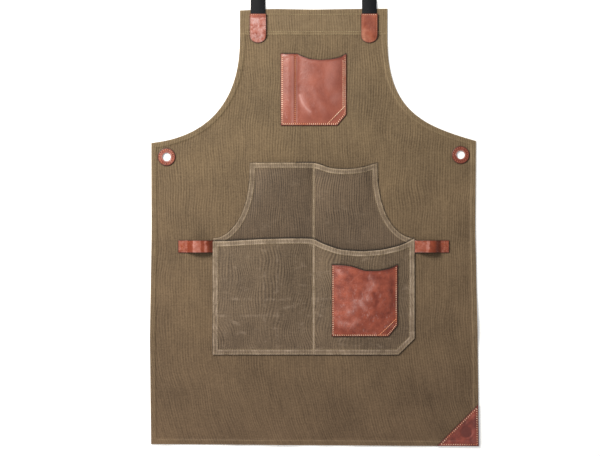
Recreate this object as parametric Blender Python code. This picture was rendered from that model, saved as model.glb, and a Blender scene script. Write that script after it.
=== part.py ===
"""A waxed canvas work apron, laid flat.

The canvas body has a turned hem and a deep top band. Two canvas pouch pockets lie one over the other
on it, each sewn down its middle into two compartments. The leather pieces are a chest pocket with a
pen slot, a phone pocket, two strap tabs, two side loops, two eyelet washers and a corner patch. One
webbing neck strap runs from tab to tab and is folded over at its two upper corners.

All sizes are metres. +X is to the right, +Y is up the apron and +Z is off the surface that it lies on.
Plan points count from the centre line and from the left end of the bottom hem.
"""

import math
from collections import namedtuple

import bmesh
import bpy
from mathutils import Vector

# Cloth, leather and webbing
CANVAS = 0.0010
LEATHER = 0.0018
WEBBING = 0.0018
# The gap left between pieces that touch, and between curved ones
FIT_GAP = 0.0003
CURVED_GAP = 0.0007
# A turned edge falls to one layer over this length
EDGE_RAMP = 0.0015

# The canvas body
APRON_LENGTH = 0.869
BIB_WIDTH = 0.295
SHOULDER_WIDTH = 0.649
SHOULDER_HEIGHT = 0.604
HEM_SKEW = 0.0044
HEM_TURN = 0.0095
TOP_BAND = 0.0495
BIB_STRAIGHT = 0.0135
TOP_WAVE = 0.003
SIDE_SWAY = 0.006
ARMHOLE_STEPS = 16

# Rows along a side edge: how far out it sways at each share of the shoulder height
Sway = namedtuple("Sway", "height left right")
SIDE_SWAYS = (
    Sway(0.00, 0.05, 1.00),
    Sway(0.35, 0.48, 0.58),
    Sway(0.70, -0.10, -0.20),
    Sway(1.00, 0.00, 0.00),
)
# Rows along the top edge, from the centre line out: how far it rises at each share of half the bib
Wave = namedtuple("Wave", "across rise")
TOP_WAVES = (Wave(1.0, 0.5), Wave(0.45, 0.3), Wave(0.0, -0.1), Wave(-0.55, 0.4), Wave(-1.0, -0.7))
# One row for each armhole: its curve's handles as shares of its depth and reach, its slope at the shoulder,
# and how far its corner lies above the shoulder height, as a share of its depth
Armhole = namedtuple("Armhole", "side down_handle out_handle end_slope_deg corner_rise")
ARMHOLES = (Armhole(-1, 0.575, 0.672, 5.6, -0.010), Armhole(1, 0.709, 0.600, 15.9, 0.010))

# Canvas pouch pockets
POUCH_WIDTH = 0.403
POUCH_BOTTOM = 0.179
LOWER_POUCH_HEIGHT = 0.232
UPPER_POUCH_HEIGHT = 0.383
UPPER_POUCH_TOP_WIDTH = 0.255
UPPER_POUCH_FLARE = 0.130
UPPER_POUCH_TUCK = 0.001
POUCH_HEM = 0.0115
POUCH_CORNER_CUT = 0.032
LOWER_SCOOP = 0.026
UPPER_SCOOP = 0.013
# Where each pouch's scooped mouth begins, as a share of its width
LOWER_SCOOP_START = 0.475
UPPER_SCOOP_START = 0.5
POUCH_CORNER_DROP = 0.006
POUCH_GAPE = 0.0078
# The upper pouch lies flat behind the lower one and for this length above its mouth
UPPER_FLAT = 0.014

# Leather pockets
LEATHER_POCKET_WIDTH = 0.1305
LEATHER_POCKET_HEIGHT = 0.1425
LEATHER_CUT_WIDTH = 0.018
LEATHER_CUT_HEIGHT = 0.022
LEATHER_SCOOP = 0.0125
LEATHER_MARGIN = 0.004
LEATHER_GAPE = 0.0078
CHEST_POCKET_DROP = 0.0895
PEN_SLOT_WIDTH = 0.0286
PHONE_FROM_SIDE = 0.0345
PHONE_FROM_BOTTOM = 0.037

# Strap tabs and neck strap
STRAP_SPACING = 0.2225
STRAP_WIDTH = 0.0295
STRAP_UNDER_TAB = 0.035
STRAP_RISE = 0.216
STRAP_FOLD_GAP = 0.0006
STRAP_DESCENT = 0.016
TAB_WIDTH = 0.033
TAB_LENGTH = 0.058
TAB_ROUND = 0.014
TAB_DROP = 0.009
TAB_SETTLE = 0.010

# Side loops
LOOP_WIDTH = 0.0245
LOOP_LENGTH = 0.069
LOOP_HEIGHT = 0.0115
LOOP_DROP = 0.016
# Rows along a loop, from the pouch's edge outwards, with each loop's height as a share
LoopRow = namedtuple("LoopRow", "along left right")
LOOP_ROWS = (
    LoopRow(0.00, 0.00, 0.00),
    LoopRow(0.05, 0.30, 0.12),
    LoopRow(0.14, 0.80, 0.48),
    LoopRow(0.24, 0.90, 0.78),
    LoopRow(0.34, 0.97, 0.94),
    LoopRow(0.46, 1.00, 1.00),
    LoopRow(0.56, 0.84, 0.97),
    LoopRow(0.64, 0.48, 0.72),
    LoopRow(0.70, 0.16, 0.26),
    LoopRow(0.76, 0.00, 0.00),
    LoopRow(0.88, 0.00, 0.00),
    LoopRow(1.00, 0.00, 0.00),
)
LOOP_STEPS = 2

# Eyelet washers and the corner patch
EYELET_RADIUS = 0.0175
EYELET_HOLE = 0.008
EYELET_ROUND = 0.0006
EYELET_SIDES = 32
CANVAS_HOLE_CLEARANCE = 0.0005
EYELET_FROM_SIDE = 0.0307
EYELET_FROM_CORNER = 0.028
PATCH_LEG = 0.084
PATCH_INSET = 0.0005

# Stations across each compartment of a pocket, and how far a pocket stands off at each row up its height
SWELL_ACROSS = (0.0, 0.10, 0.28, 0.50, 0.72, 0.90, 1.0)
SWELL_POWER = 0.62
Rise = namedtuple("Rise", "height swell")
POCKET_RISES = (Rise(0.0, 0.0), Rise(0.12, 0.52), Rise(0.27, 0.88), Rise(0.50, 1.0), Rise(1.0, 1.0))
UPPER_RISES = (Rise(0.0, 0.0), Rise(0.25, 0.28), Rise(0.50, 0.78), Rise(0.75, 1.0), Rise(1.0, 1.0))
FLARE_ANGLES_DEG = (86, 78, 66, 52, 38, 24, 10, 0)
SCOOP_POWER = 0.8
SCOOP_SHOULDER = 0.2

SHARP_ANGLE = math.radians(35)
# Lengths and turns smaller than these count as none
TINY_LENGTH = 1e-9
TINY_TURN = 1e-3
# How deep a cutter is, in layers of canvas
CUTTER_LAYERS = 10

# A stop on a pocket's grid: a share of the length left inside the insets, the layers of cloth there and the
# share of the gape by which it stands off
Stop = namedtuple("Stop", "share inset layers swell")
# A compartment between two seams, as shares of the pocket's width, with its share of the gape
Compartment = namedtuple("Compartment", "start end gape")
# A pocket: its side edges at a height, its foot and mouth heights, the cut corner with the height over
# which the rows above it level out again, the scooped mouth, the hem and the compartments
Pocket = namedtuple(
    "Pocket", "sides foot mouth cut_width cut_height level_out scoop_start scoop drop hem gape compartments"
)

FINISHES = {
    "canvas": ((0.235, 0.171, 0.098), 0.75),
    "pocket_canvas": ((0.188, 0.138, 0.088), 0.75),
    "leather": ((0.342, 0.092, 0.053), 0.45),
    "webbing": ((0.018, 0.018, 0.021), 0.85),
}


def mix(a, b, share):
    """The point a share of the way from a to b."""
    return a + (b - a) * share


def ease(share):
    """A smooth climb from 0 to 1, level at both ends."""
    t = min(max(share, 0.0), 1.0)
    return t * t * (3 - 2 * t)


def bezier(start, handle_a, handle_b, end, steps):
    """Points along a cubic curve, both ends included."""
    points = []
    for i in range(steps + 1):
        t = i / steps
        u = 1 - t
        points.append(u**3 * start + 3 * u * u * t * handle_a + 3 * u * t * t * handle_b + t**3 * end)
    return points


def finish_material(piece, finish):
    """A piece's own material in the named finish."""
    colour, roughness = FINISHES[finish]
    material = bpy.data.materials.new(f"{piece}_{finish}")
    material.use_nodes = True
    shader = material.node_tree.nodes["Principled BSDF"]
    shader.inputs["Base Color"].default_value = (*colour, 1.0)
    shader.inputs["Roughness"].default_value = roughness
    shader.inputs["Metallic"].default_value = 0.0
    return material


def add_object(name, mesh, finish, place=None):
    """A named object from a mesh, smooth apart from its sharp edges."""
    mesh.shade_smooth()
    mesh.set_sharp_from_angle(angle=SHARP_ANGLE)
    mesh.materials.append(finish_material(name, finish))
    made = bpy.data.objects.new(name, mesh)
    made.location = place or (0, 0, 0)
    made.parent = apron
    bpy.context.scene.collection.objects.link(made)
    return made


def sheet_solid(name, lower, upper, faces, finish, place=None):
    """A closed solid between two matching sheets of points, with walls round their open edges."""
    count = len(lower)
    edges = {(f[i], f[(i + 1) % len(f)]) for f in faces for i in range(len(f))}
    rim = sorted(e for e in edges if (e[1], e[0]) not in edges)
    top = [tuple(i + count for i in f) for f in faces]
    bottom = [tuple(reversed(f)) for f in faces]
    walls = [(a, b, b + count, a + count) for a, b in rim]
    mesh = bpy.data.meshes.new(name)
    mesh.from_pydata([tuple(v) for v in list(lower) + list(upper)], [], top + bottom + walls)
    return add_object(name, mesh, finish, place)


def grid_faces(rows, columns):
    """Faces of a grid of points kept row by row, seen from above."""
    faces = []
    for r in range(rows - 1):
        for c in range(columns - 1):
            corner = r * columns + c
            faces.append((corner, corner + 1, corner + columns + 1, corner + columns))
    return faces


def side_edge(side):
    """Points up one side of the body, from the hem to just under the shoulder corner."""
    points = []
    for row in SIDE_SWAYS[:-1]:
        sway = row.left if side < 0 else row.right
        skew = HEM_SKEW * (1 - row.height) if side > 0 else 0.0
        x = SHOULDER_WIDTH / 2 + sway * SIDE_SWAY
        points.append(Vector((side * x, row.height * SHOULDER_HEIGHT - skew)))
    return points


def armhole_edge(armhole):
    """Points from the shoulder corner in and up to the straight side of the bib."""
    start_height = APRON_LENGTH - TOP_BAND - BIB_STRAIGHT
    depth = start_height - SHOULDER_HEIGHT
    reach = (SHOULDER_WIDTH - BIB_WIDTH) / 2
    slope = math.radians(armhole.end_slope_deg)
    corner = Vector((SHOULDER_WIDTH / 2, SHOULDER_HEIGHT + armhole.corner_rise * depth))
    away = Vector((-math.cos(slope), math.sin(slope)))
    start = Vector((BIB_WIDTH / 2, start_height))
    down = start - Vector((0, armhole.down_handle * depth))
    curve = bezier(corner, corner + away * armhole.out_handle * reach, down, start, ARMHOLE_STEPS)
    return [Vector((armhole.side * p.x, p.y)) for p in curve]


def top_edge():
    """Points along the bib's top edge, from right to left."""
    return [
        Vector((row.across * BIB_WIDTH / 2, APRON_LENGTH + row.rise * TOP_WAVE)) for row in TOP_WAVES
    ]


def body_outline():
    """The body's outline, anticlockwise from the left end of the hem, and the turn inside each edge."""
    left_hole, right_hole = ARMHOLES
    top = top_edge()
    right = side_edge(1) + armhole_edge(right_hole)
    left = list(reversed(side_edge(-1) + armhole_edge(left_hole)))
    points = [left[-1]] + right + top + left[:-1]
    first_top = 1 + len(right)
    turns = [HEM_TURN] * len(points)
    for i in range(first_top, first_top + len(top) - 1):
        turns[i] = TOP_BAND
    return points, turns


def inset_outline(points, widths):
    """An anticlockwise outline moved inwards, each edge by its own width."""
    moved = []
    count = len(points)
    for i, here in enumerate(points):
        before = (here - points[i - 1]).normalized()
        after = (points[(i + 1) % count] - here).normalized()
        n_before = Vector((-before.y, before.x))
        n_after = Vector((-after.y, after.x))
        turn = n_before.x * n_after.y - n_before.y * n_after.x
        w_before, w_after = widths[i - 1], widths[i]
        if abs(turn) < TINY_TURN:
            moved.append(here + n_after * w_after)
            continue
        x = (w_before * n_after.y - w_after * n_before.y) / turn
        y = (w_after * n_before.x - w_before * n_after.x) / turn
        moved.append(here + Vector((x, y)))
    return moved


def ring_faces(start, count, other):
    """Faces between two rings of points, the first outside the second."""
    return [
        (start + i, start + (i + 1) % count, other + (i + 1) % count, other + i) for i in range(count)
    ]


def eyelet_centre(armhole):
    """The middle of the eyelet under a shoulder corner."""
    corner = armhole_edge(armhole)[0]
    return Vector((corner.x - armhole.side * EYELET_FROM_SIDE, corner.y - EYELET_FROM_CORNER))


def make_body():
    """The canvas body: two layers at its turned edges and top band, one inside, and two round holes."""
    outline, turns = body_outline()
    turned = inset_outline(outline, turns)
    fallen = inset_outline(outline, [w + EDGE_RAMP for w in turns])
    count = len(outline)
    plan = outline + turned + fallen
    heights = [2 * CANVAS] * (2 * count) + [CANVAS] * count
    lower = [Vector((p.x, p.y, 0)) for p in plan]
    upper = [Vector((p.x, p.y, z)) for p, z in zip(plan, heights)]
    faces = ring_faces(0, count, count) + ring_faces(count, count, 2 * count)
    faces.append(tuple(range(2 * count, 3 * count)))
    body = sheet_solid("body_panel", lower, upper, faces, "canvas")
    for armhole in ARMHOLES:
        cut_eyelet_hole(body, armhole)


def cut_eyelet_hole(body, armhole):
    """A round hole through the canvas under an eyelet."""
    centre = eyelet_centre(armhole)
    mesh = bpy.data.meshes.new("eyelet_cutter")
    shape = bmesh.new()
    radius = EYELET_HOLE + CANVAS_HOLE_CLEARANCE
    bmesh.ops.create_cone(
        shape,
        cap_ends=True,
        segments=EYELET_SIDES,
        radius1=radius,
        radius2=radius,
        depth=CUTTER_LAYERS * CANVAS,
    )
    shape.to_mesh(mesh)
    shape.free()
    cutter = bpy.data.objects.new("eyelet_cutter", mesh)
    cutter.location = (centre.x, centre.y, 0)
    cutter.parent = apron
    cutter.hide_render = True
    cutter.display_type = "WIRE"
    bpy.context.scene.collection.objects.link(cutter)
    hole = body.modifiers.new("eyelet hole", "BOOLEAN")
    hole.operation = "DIFFERENCE"
    hole.object = cutter


def mouth_height(pocket, share):
    """The height of a pocket's mouth at a share of its width: a scoop to the right, a low left corner."""
    scoop = 0.0
    if share > pocket.scoop_start:
        s = (share - pocket.scoop_start) / (1 - pocket.scoop_start)
        scoop = (4 * s * (1 - s)) ** SCOOP_POWER * ease(s / SCOOP_SHOULDER)
    droop = (1 - ease(share / pocket.scoop_start)) ** 2
    return pocket.mouth - pocket.scoop * scoop - pocket.drop * droop


def cut_lift(pocket, x):
    """How far a pocket's lower edge has climbed along the cut corner at x."""
    right = pocket.sides(pocket.foot)[1]
    into_cut = x - (right - pocket.cut_width)
    return max(0.0, into_cut / pocket.cut_width) * pocket.cut_height


def between(low, high, stop):
    """A stop's place between two edges."""
    return mix(low + stop.inset, high - stop.inset, stop.share)


def column_stops(pocket, layers):
    """The stops across a pocket: its side hems, and the stations of each compartment between its seams."""
    inner = pocket.hem + EDGE_RAMP
    left, right = pocket.sides(pocket.foot)
    cut_starts = 1 - (pocket.cut_width - inner) / (right - left - 2 * inner)
    stops = [Stop(0, 0, layers, 0), Stop(0, pocket.hem, layers, 0)]
    for part in pocket.compartments:
        stations = set(SWELL_ACROSS)
        if part.end == 1:
            stations.add((cut_starts - part.start) / (part.end - part.start))
        if part.start > 0:
            stations.remove(0.0)
        for s in sorted(stations):
            swell = part.gape * (4 * s * (1 - s)) ** SWELL_POWER
            stops.append(Stop(mix(part.start, part.end, s), inner, 1, swell))
    return stops + [Stop(1, pocket.hem, layers, 0), Stop(1, 0, layers, 0)]


def row_stops(pocket, layers):
    """The stops up a pocket, from its foot to its mouth."""
    inner = pocket.hem + EDGE_RAMP
    stops = [Stop(0, 0, layers, 0), Stop(0, pocket.hem, layers, 0)]
    stops += [Stop(row.height, inner, 1, row.swell) for row in POCKET_RISES]
    return stops + [Stop(1, pocket.hem, layers, 1), Stop(1, 0, layers, 1)]


def pocket_plan(pocket, column, row):
    """The plan point of a pocket's grid at a column and a row."""
    straight_left, straight_right = pocket.sides(pocket.foot)
    x = between(straight_left, straight_right, column)
    high = mouth_height(pocket, (x - straight_left) / (straight_right - straight_left))
    y = between(pocket.foot, high, row)
    y += cut_lift(pocket, x) * max(0.0, 1 - (y - pocket.foot) / pocket.level_out)
    left, right = pocket.sides(y)
    return Vector((between(left, right, column), y))


def make_pocket(name, pocket, columns, rows, layer, layers_at, ground, finish):
    """A pocket's sheet: its underside follows the ground under it and swells between its seams."""
    lower = []
    upper = []
    for row in rows:
        for column in columns:
            plan = pocket_plan(pocket, column, row)
            under = ground(plan) + pocket.gape * column.swell * row.swell
            lower.append(Vector((plan.x, plan.y, under)))
            upper.append(Vector((plan.x, plan.y, under + layer * layers_at(column, row))))
    return sheet_solid(name, lower, upper, grid_faces(len(rows), len(columns)), finish)


def swell_along(stops, low, high, value):
    """The swell at a place between two edges, read along a pocket's stops."""
    places = [between(low, high, stop) for stop in stops]
    for i in range(len(stops) - 1):
        if places[i] <= value <= places[i + 1]:
            share = (value - places[i]) / max(places[i + 1] - places[i], TINY_LENGTH)
            return mix(stops[i].swell, stops[i + 1].swell, share)
    return 0.0


def lower_pouch():
    """The lower canvas pouch, a straight-sided pocket in two compartments."""
    half = POUCH_WIDTH / 2
    return Pocket(
        sides=lambda y: (-half, half),
        foot=POUCH_BOTTOM,
        mouth=POUCH_BOTTOM + LOWER_POUCH_HEIGHT,
        cut_width=POUCH_CORNER_CUT,
        cut_height=POUCH_CORNER_CUT,
        level_out=LOWER_POUCH_HEIGHT,
        scoop_start=LOWER_SCOOP_START,
        scoop=LOWER_SCOOP,
        drop=POUCH_CORNER_DROP,
        hem=POUCH_HEM,
        gape=POUCH_GAPE,
        compartments=(Compartment(0, 0.5, 1), Compartment(0.5, 1, 1)),
    )


def flare_start():
    """The height where the upper pouch's sides begin to curve in, just at the lower pouch's mouth."""
    return POUCH_BOTTOM + LOWER_POUCH_HEIGHT


def upper_pouch_sides(y):
    """The upper pouch's side edges: straight behind the lower one, then an ellipse's quarter inwards."""
    wide = POUCH_WIDTH / 2 - UPPER_POUCH_TUCK
    narrow = UPPER_POUCH_TOP_WIDTH / 2
    climb = min(max((y - flare_start()) / UPPER_POUCH_FLARE, 0.0), 1.0)
    half = wide - (wide - narrow) * math.sqrt(1 - (1 - climb) ** 2)
    return -half, half


def upper_pouch():
    """The upper canvas pouch, which runs down behind the lower one."""
    return Pocket(
        sides=upper_pouch_sides,
        foot=POUCH_BOTTOM + UPPER_POUCH_TUCK,
        mouth=POUCH_BOTTOM + UPPER_POUCH_HEIGHT,
        cut_width=POUCH_CORNER_CUT,
        cut_height=POUCH_CORNER_CUT,
        level_out=flare_start() - POUCH_BOTTOM - UPPER_POUCH_TUCK,
        scoop_start=UPPER_SCOOP_START,
        scoop=UPPER_SCOOP,
        drop=0.0,
        hem=POUCH_HEM,
        gape=POUCH_GAPE,
        compartments=(Compartment(0, 0.5, 1), Compartment(0.5, 1, 1)),
    )


def upper_pouch_rows(pocket):
    """Rows up the upper pouch: flat behind the lower one, then through the flare to the mouth."""
    height = pocket.mouth - pocket.foot
    inner = pocket.hem + EDGE_RAMP
    span = height - 2 * inner
    flat_end = flare_start() + UPPER_FLAT
    rising = pocket.mouth - inner - flat_end
    curve = [
        flare_start() + UPPER_POUCH_FLARE * (1 - math.sin(math.radians(a))) for a in FLARE_ANGLES_DEG
    ]
    swells = [Stop(r.height, 0, 1, r.swell) for r in UPPER_RISES]
    stops = [Stop(0, 0, 1, 0)]
    for y in [flare_start()] + curve:
        if y < pocket.mouth - inner - EDGE_RAMP:
            swell = swell_along(swells, 0, rising, max(y - flat_end, 0.0))
            stops.append(Stop((y - pocket.foot - inner) / span, inner, 1, swell))
    return stops + [Stop(1, inner, 1, 1), Stop(1, pocket.hem, 2, 1), Stop(1, 0, 2, 1)]


def leather_pocket(left, foot, compartments, scoop_start):
    """A leather pocket with its left edge and foot at a given place."""
    right = left + LEATHER_POCKET_WIDTH
    return Pocket(
        sides=lambda y: (left, right),
        foot=foot,
        mouth=foot + LEATHER_POCKET_HEIGHT,
        cut_width=LEATHER_CUT_WIDTH,
        cut_height=LEATHER_CUT_HEIGHT,
        level_out=LEATHER_POCKET_HEIGHT,
        scoop_start=scoop_start,
        scoop=LEATHER_SCOOP,
        drop=0.0,
        hem=LEATHER_MARGIN,
        gape=LEATHER_GAPE,
        compartments=compartments,
    )


def pouch_ground(layers_below):
    """The height of a pouch's seams over that many layers of canvas, each with its gap."""
    return layers_below * (CANVAS + FIT_GAP)


def lower_pouch_top(plan):
    """The height of the lower pouch's face at a plan point."""
    pocket = lower_pouch()
    left, right = pocket.sides(plan.y)
    across = swell_along(column_stops(pocket, 2), left, right, plan.x)
    high = mouth_height(pocket, (plan.x - left) / (right - left))
    up = swell_along(row_stops(pocket, 2), pocket.foot, high, plan.y)
    return pouch_ground(2) + pocket.gape * across * up + CANVAS


def most_layers(column, row):
    """A turned edge on either side makes two layers."""
    return max(column.layers, row.layers)


def make_pouches():
    """The two canvas pouches and the compartment seam that both share."""
    upper = upper_pouch()
    hidden = between(upper.foot, upper.mouth, upper_pouch_rows(upper)[1])

    def upper_layers(column, row):
        shown = between(upper.foot, upper.mouth, row) > hidden + EDGE_RAMP
        return most_layers(column, row) if shown else 1

    make_pocket(
        "upper_pouch",
        upper,
        column_stops(upper, 2),
        upper_pouch_rows(upper),
        CANVAS,
        upper_layers,
        lambda plan: pouch_ground(1),
        "pocket_canvas",
    )
    lower = lower_pouch()
    make_pocket(
        "lower_pouch",
        lower,
        column_stops(lower, 2),
        row_stops(lower, 2),
        CANVAS,
        most_layers,
        lambda plan: pouch_ground(2),
        "pocket_canvas",
    )


def make_leather_pockets():
    """The chest pocket with its pen slot, on the body, and the phone pocket, on the lower pouch."""
    pen_share = PEN_SLOT_WIDTH / LEATHER_POCKET_WIDTH
    chest = leather_pocket(
        -LEATHER_POCKET_WIDTH / 2,
        APRON_LENGTH - CHEST_POCKET_DROP - LEATHER_POCKET_HEIGHT,
        (Compartment(0, pen_share, 1), Compartment(pen_share, 1, 1)),
        pen_share,
    )
    phone_left = POUCH_WIDTH / 2 - PHONE_FROM_SIDE - LEATHER_POCKET_WIDTH
    phone = leather_pocket(
        phone_left, POUCH_BOTTOM + PHONE_FROM_BOTTOM, (Compartment(0, 1, 1),), pen_share
    )
    grounds = {
        "chest_pocket": (chest, lambda plan: pouch_ground(1)),
        "phone_pocket": (phone, lambda plan: lower_pouch_top(plan) + CURVED_GAP),
    }
    for name, (pocket, ground) in grounds.items():
        make_pocket(
            name,
            pocket,
            column_stops(pocket, 1),
            row_stops(pocket, 1),
            LEATHER,
            lambda column, row: 1,
            ground,
            "leather",
        )


StrapRow = namedtuple("StrapRow", "along slant level")


def fold_radius():
    """The radius of the webbing's middle where it is folded over."""
    return (WEBBING + STRAP_FOLD_GAP) / 2


def strap_rows():
    """Cross-lines of the webbing laid out straight, with their slant and the height of its middle."""
    floor = WEBBING / 2
    sewn = 2 * CANVAS + FIT_GAP + WEBBING / 2
    half = STRAP_WIDTH / 2
    top_edge_at = APRON_LENGTH + TOP_WAVE
    fold_at = strap_fold_height()
    bend = math.pi * fold_radius() * math.sqrt(2)
    first = [
        StrapRow(strap_end(), 0, sewn),
        StrapRow(top_edge_at, 0, sewn),
        StrapRow(top_edge_at + STRAP_DESCENT / 2, 0, mix(sewn, floor, 0.5)),
        StrapRow(top_edge_at + STRAP_DESCENT, 0, floor),
        StrapRow(fold_at - STRAP_WIDTH, 0, floor),
    ]
    bend_one = [StrapRow(fold_at + bend * i / 6, 1, floor) for i in range(7)]
    landing = fold_at + bend + half + STRAP_FOLD_GAP
    middle = [
        StrapRow(landing + half / 4, 0, 0),
        StrapRow(landing + half / 4 + STRAP_DESCENT / 2, 0, -fold_radius()),
        StrapRow(landing + half / 4 + STRAP_DESCENT, 0, -2 * fold_radius()),
    ]
    second_fold = fold_at + STRAP_SPACING
    middle.append(StrapRow(second_fold - STRAP_WIDTH, 0, -2 * fold_radius()))
    bend_two = [StrapRow(second_fold + bend * i / 6, -1, -2 * fold_radius()) for i in range(7)]
    # After each fold the level counts down from the raised height back to the floor's
    after = [StrapRow(r.along, r.slant, r.level + floor) for r in middle + bend_two]
    landing = second_fold + bend + half + STRAP_FOLD_GAP + half / 4
    settled = floor - 4 * fold_radius()
    climb = sewn - floor
    bib_at = second_fold + bend + fold_at - top_edge_at
    last = [
        StrapRow(landing, 0, floor - 2 * fold_radius()),
        StrapRow(landing + STRAP_DESCENT / 2, 0, floor - 3 * fold_radius()),
        StrapRow(landing + STRAP_DESCENT, 0, settled),
        StrapRow(bib_at - STRAP_DESCENT, 0, settled),
        StrapRow(bib_at - STRAP_DESCENT / 2, 0, settled + climb / 2),
        StrapRow(bib_at, 0, settled + climb),
        StrapRow(second_fold + bend + fold_at - strap_end(), 0, settled + climb),
    ]
    return first + bend_one + after + last


def strap_fold_height():
    """The height at which the webbing's middle line meets the line of its folds."""
    return APRON_LENGTH + STRAP_RISE - STRAP_WIDTH / 2 - math.pi * fold_radius() / math.sqrt(2)


def strap_end():
    """The height of the webbing's sewn end under its tab."""
    return APRON_LENGTH - TAB_DROP - STRAP_UNDER_TAB


def fold_over(point, up, corner, across):
    """Where a point of the webbing and its upward direction go when it is folded up and over a line."""
    beyond = (point - corner).dot(across)
    if beyond <= 0:
        return point, up
    radius = fold_radius()
    angle = min(beyond / radius, math.pi)
    past = max(beyond - math.pi * radius, 0.0)
    moved = point - across * beyond + across * (radius * math.sin(angle) - past)
    moved.z = point.z + radius * (1 - math.cos(angle))
    turned = Vector((0, 0, math.cos(angle))) - across * math.sin(angle)
    return moved, turned * up.z


def make_strap():
    """The neck strap: up from the left tab, over at two mitred folds and down to the right tab."""
    half = STRAP_WIDTH / 2
    left_corner = Vector((-STRAP_SPACING / 2, strap_fold_height(), 0))
    right_corner = Vector((STRAP_SPACING / 2, strap_fold_height(), 0))
    diagonal = math.sqrt(0.5)
    rows = strap_rows()
    lower = []
    upper = []
    for row in rows:
        for side in (-1, 1):
            c = side * half
            flat = Vector((-STRAP_SPACING / 2 + c, row.along + row.slant * c, row.level))
            up = Vector((0, 0, 1))
            place, up = fold_over(flat, up, left_corner, Vector((-diagonal, diagonal, 0)))
            place, up = fold_over(place, up, right_corner, Vector((diagonal, diagonal, 0)))
            lower.append(place - up * WEBBING / 2)
            upper.append(place + up * WEBBING / 2)
    return sheet_solid("neck_strap", lower, upper, grid_faces(len(rows), 2), "webbing")


def tab_underside(y):
    """The height of a tab's underside: over the webbing, then down onto the single canvas."""
    over_webbing = 2 * CANVAS + 2 * FIT_GAP + WEBBING
    on_canvas = CANVAS + FIT_GAP
    settle_from = min(strap_end(), APRON_LENGTH - TOP_BAND)
    return mix(over_webbing, on_canvas, ease((settle_from - y) / TAB_SETTLE))


def make_tab(name, side):
    """A leather strap tab with a rounded foot."""
    straight = TAB_LENGTH - TAB_ROUND
    top = APRON_LENGTH - TAB_DROP
    drops = [0, straight * 0.4, straight * 0.7, straight * 0.85, straight]
    half_widths = [TAB_WIDTH / 2] * len(drops)
    for angle in (20, 40, 58, 72, 82):
        drops.append(straight + TAB_ROUND * math.sin(math.radians(angle)))
        half_widths.append(TAB_WIDTH / 2 * math.cos(math.radians(angle)))
    lower = []
    for drop, half in reversed(list(zip(drops, half_widths))):
        for share in (-1, -0.4, 0.4, 1):
            lower.append(Vector((share * half, -drop, tab_underside(top - drop))))
    upper = [p + Vector((0, 0, LEATHER)) for p in lower]
    place = (side * STRAP_SPACING / 2, top, 0)
    return sheet_solid(name, lower, upper, grid_faces(len(drops), 4), "leather", place)


def smooth_line(points, steps):
    """Points along a smooth curve through the given ones."""
    line = []
    last = len(points) - 1
    for i in range(last):
        before, start, end, after = (points[min(max(i + k, 0), last)] for k in (-1, 0, 1, 2))
        handle_a = start + (end - before) / 6
        handle_b = end - (after - start) / 6
        line += bezier(start, handle_a, handle_b, end, steps)[:-1]
    return line + [points[last]]


def make_loop(name, side):
    """A leather side loop: it arches out from the pouch's edge and is sewn down flat at its outer end."""
    base = CANVAS + FIT_GAP + LEATHER / 2
    knots = []
    for row in LOOP_ROWS:
        rise = row.left if side < 0 else row.right
        knots.append(Vector((row.along * LOOP_LENGTH, rise * LOOP_HEIGHT + base)))
    line = smooth_line(knots, LOOP_STEPS)
    last = len(line) - 1
    lower = []
    upper = []
    for i, point in enumerate(line):
        # Both ends are cut square, so that the inner one meets the pouch's edge face to face
        level = i in (0, last)
        ahead = Vector((1, 0)) if level else line[i + 1] - line[i - 1]
        out = Vector((-ahead.y, ahead.x)).normalized() * LEATHER / 2
        for y in (-side * LOOP_WIDTH / 2, side * LOOP_WIDTH / 2):
            lower.append(Vector((side * (point.x - out.x), -y, point.y - out.y)))
            upper.append(Vector((side * (point.x + out.x), -y, point.y + out.y)))
    height = POUCH_BOTTOM + LOWER_POUCH_HEIGHT - LOOP_DROP
    place = (side * (POUCH_WIDTH / 2 + FIT_GAP), height, 0)
    return sheet_solid(name, lower, upper, grid_faces(len(line), 2), "leather", place)


def make_eyelet(name, armhole):
    """A round leather washer with softened edges."""
    low = CANVAS + FIT_GAP
    high = low + LEATHER
    profile = (
        (EYELET_HOLE, low),
        (EYELET_RADIUS, low),
        (EYELET_RADIUS, high - EYELET_ROUND),
        (EYELET_RADIUS - EYELET_ROUND, high),
        (EYELET_HOLE + EYELET_ROUND, high),
        (EYELET_HOLE, high - EYELET_ROUND),
    )
    shape = bmesh.new()
    ring = [shape.verts.new((radius, 0, z)) for radius, z in profile]
    for i, corner in enumerate(ring):
        shape.edges.new((ring[i - 1], corner))
    bmesh.ops.spin(
        shape,
        geom=ring + list(shape.edges),
        cent=(0, 0, 0),
        axis=(0, 0, 1),
        angle=2 * math.pi,
        steps=EYELET_SIDES,
        use_merge=True,
    )
    bmesh.ops.recalc_face_normals(shape, faces=list(shape.faces))
    mesh = bpy.data.meshes.new(name)
    shape.to_mesh(mesh)
    shape.free()
    centre = eyelet_centre(armhole)
    return add_object(name, mesh, "leather", (centre.x, centre.y, 0))


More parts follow.
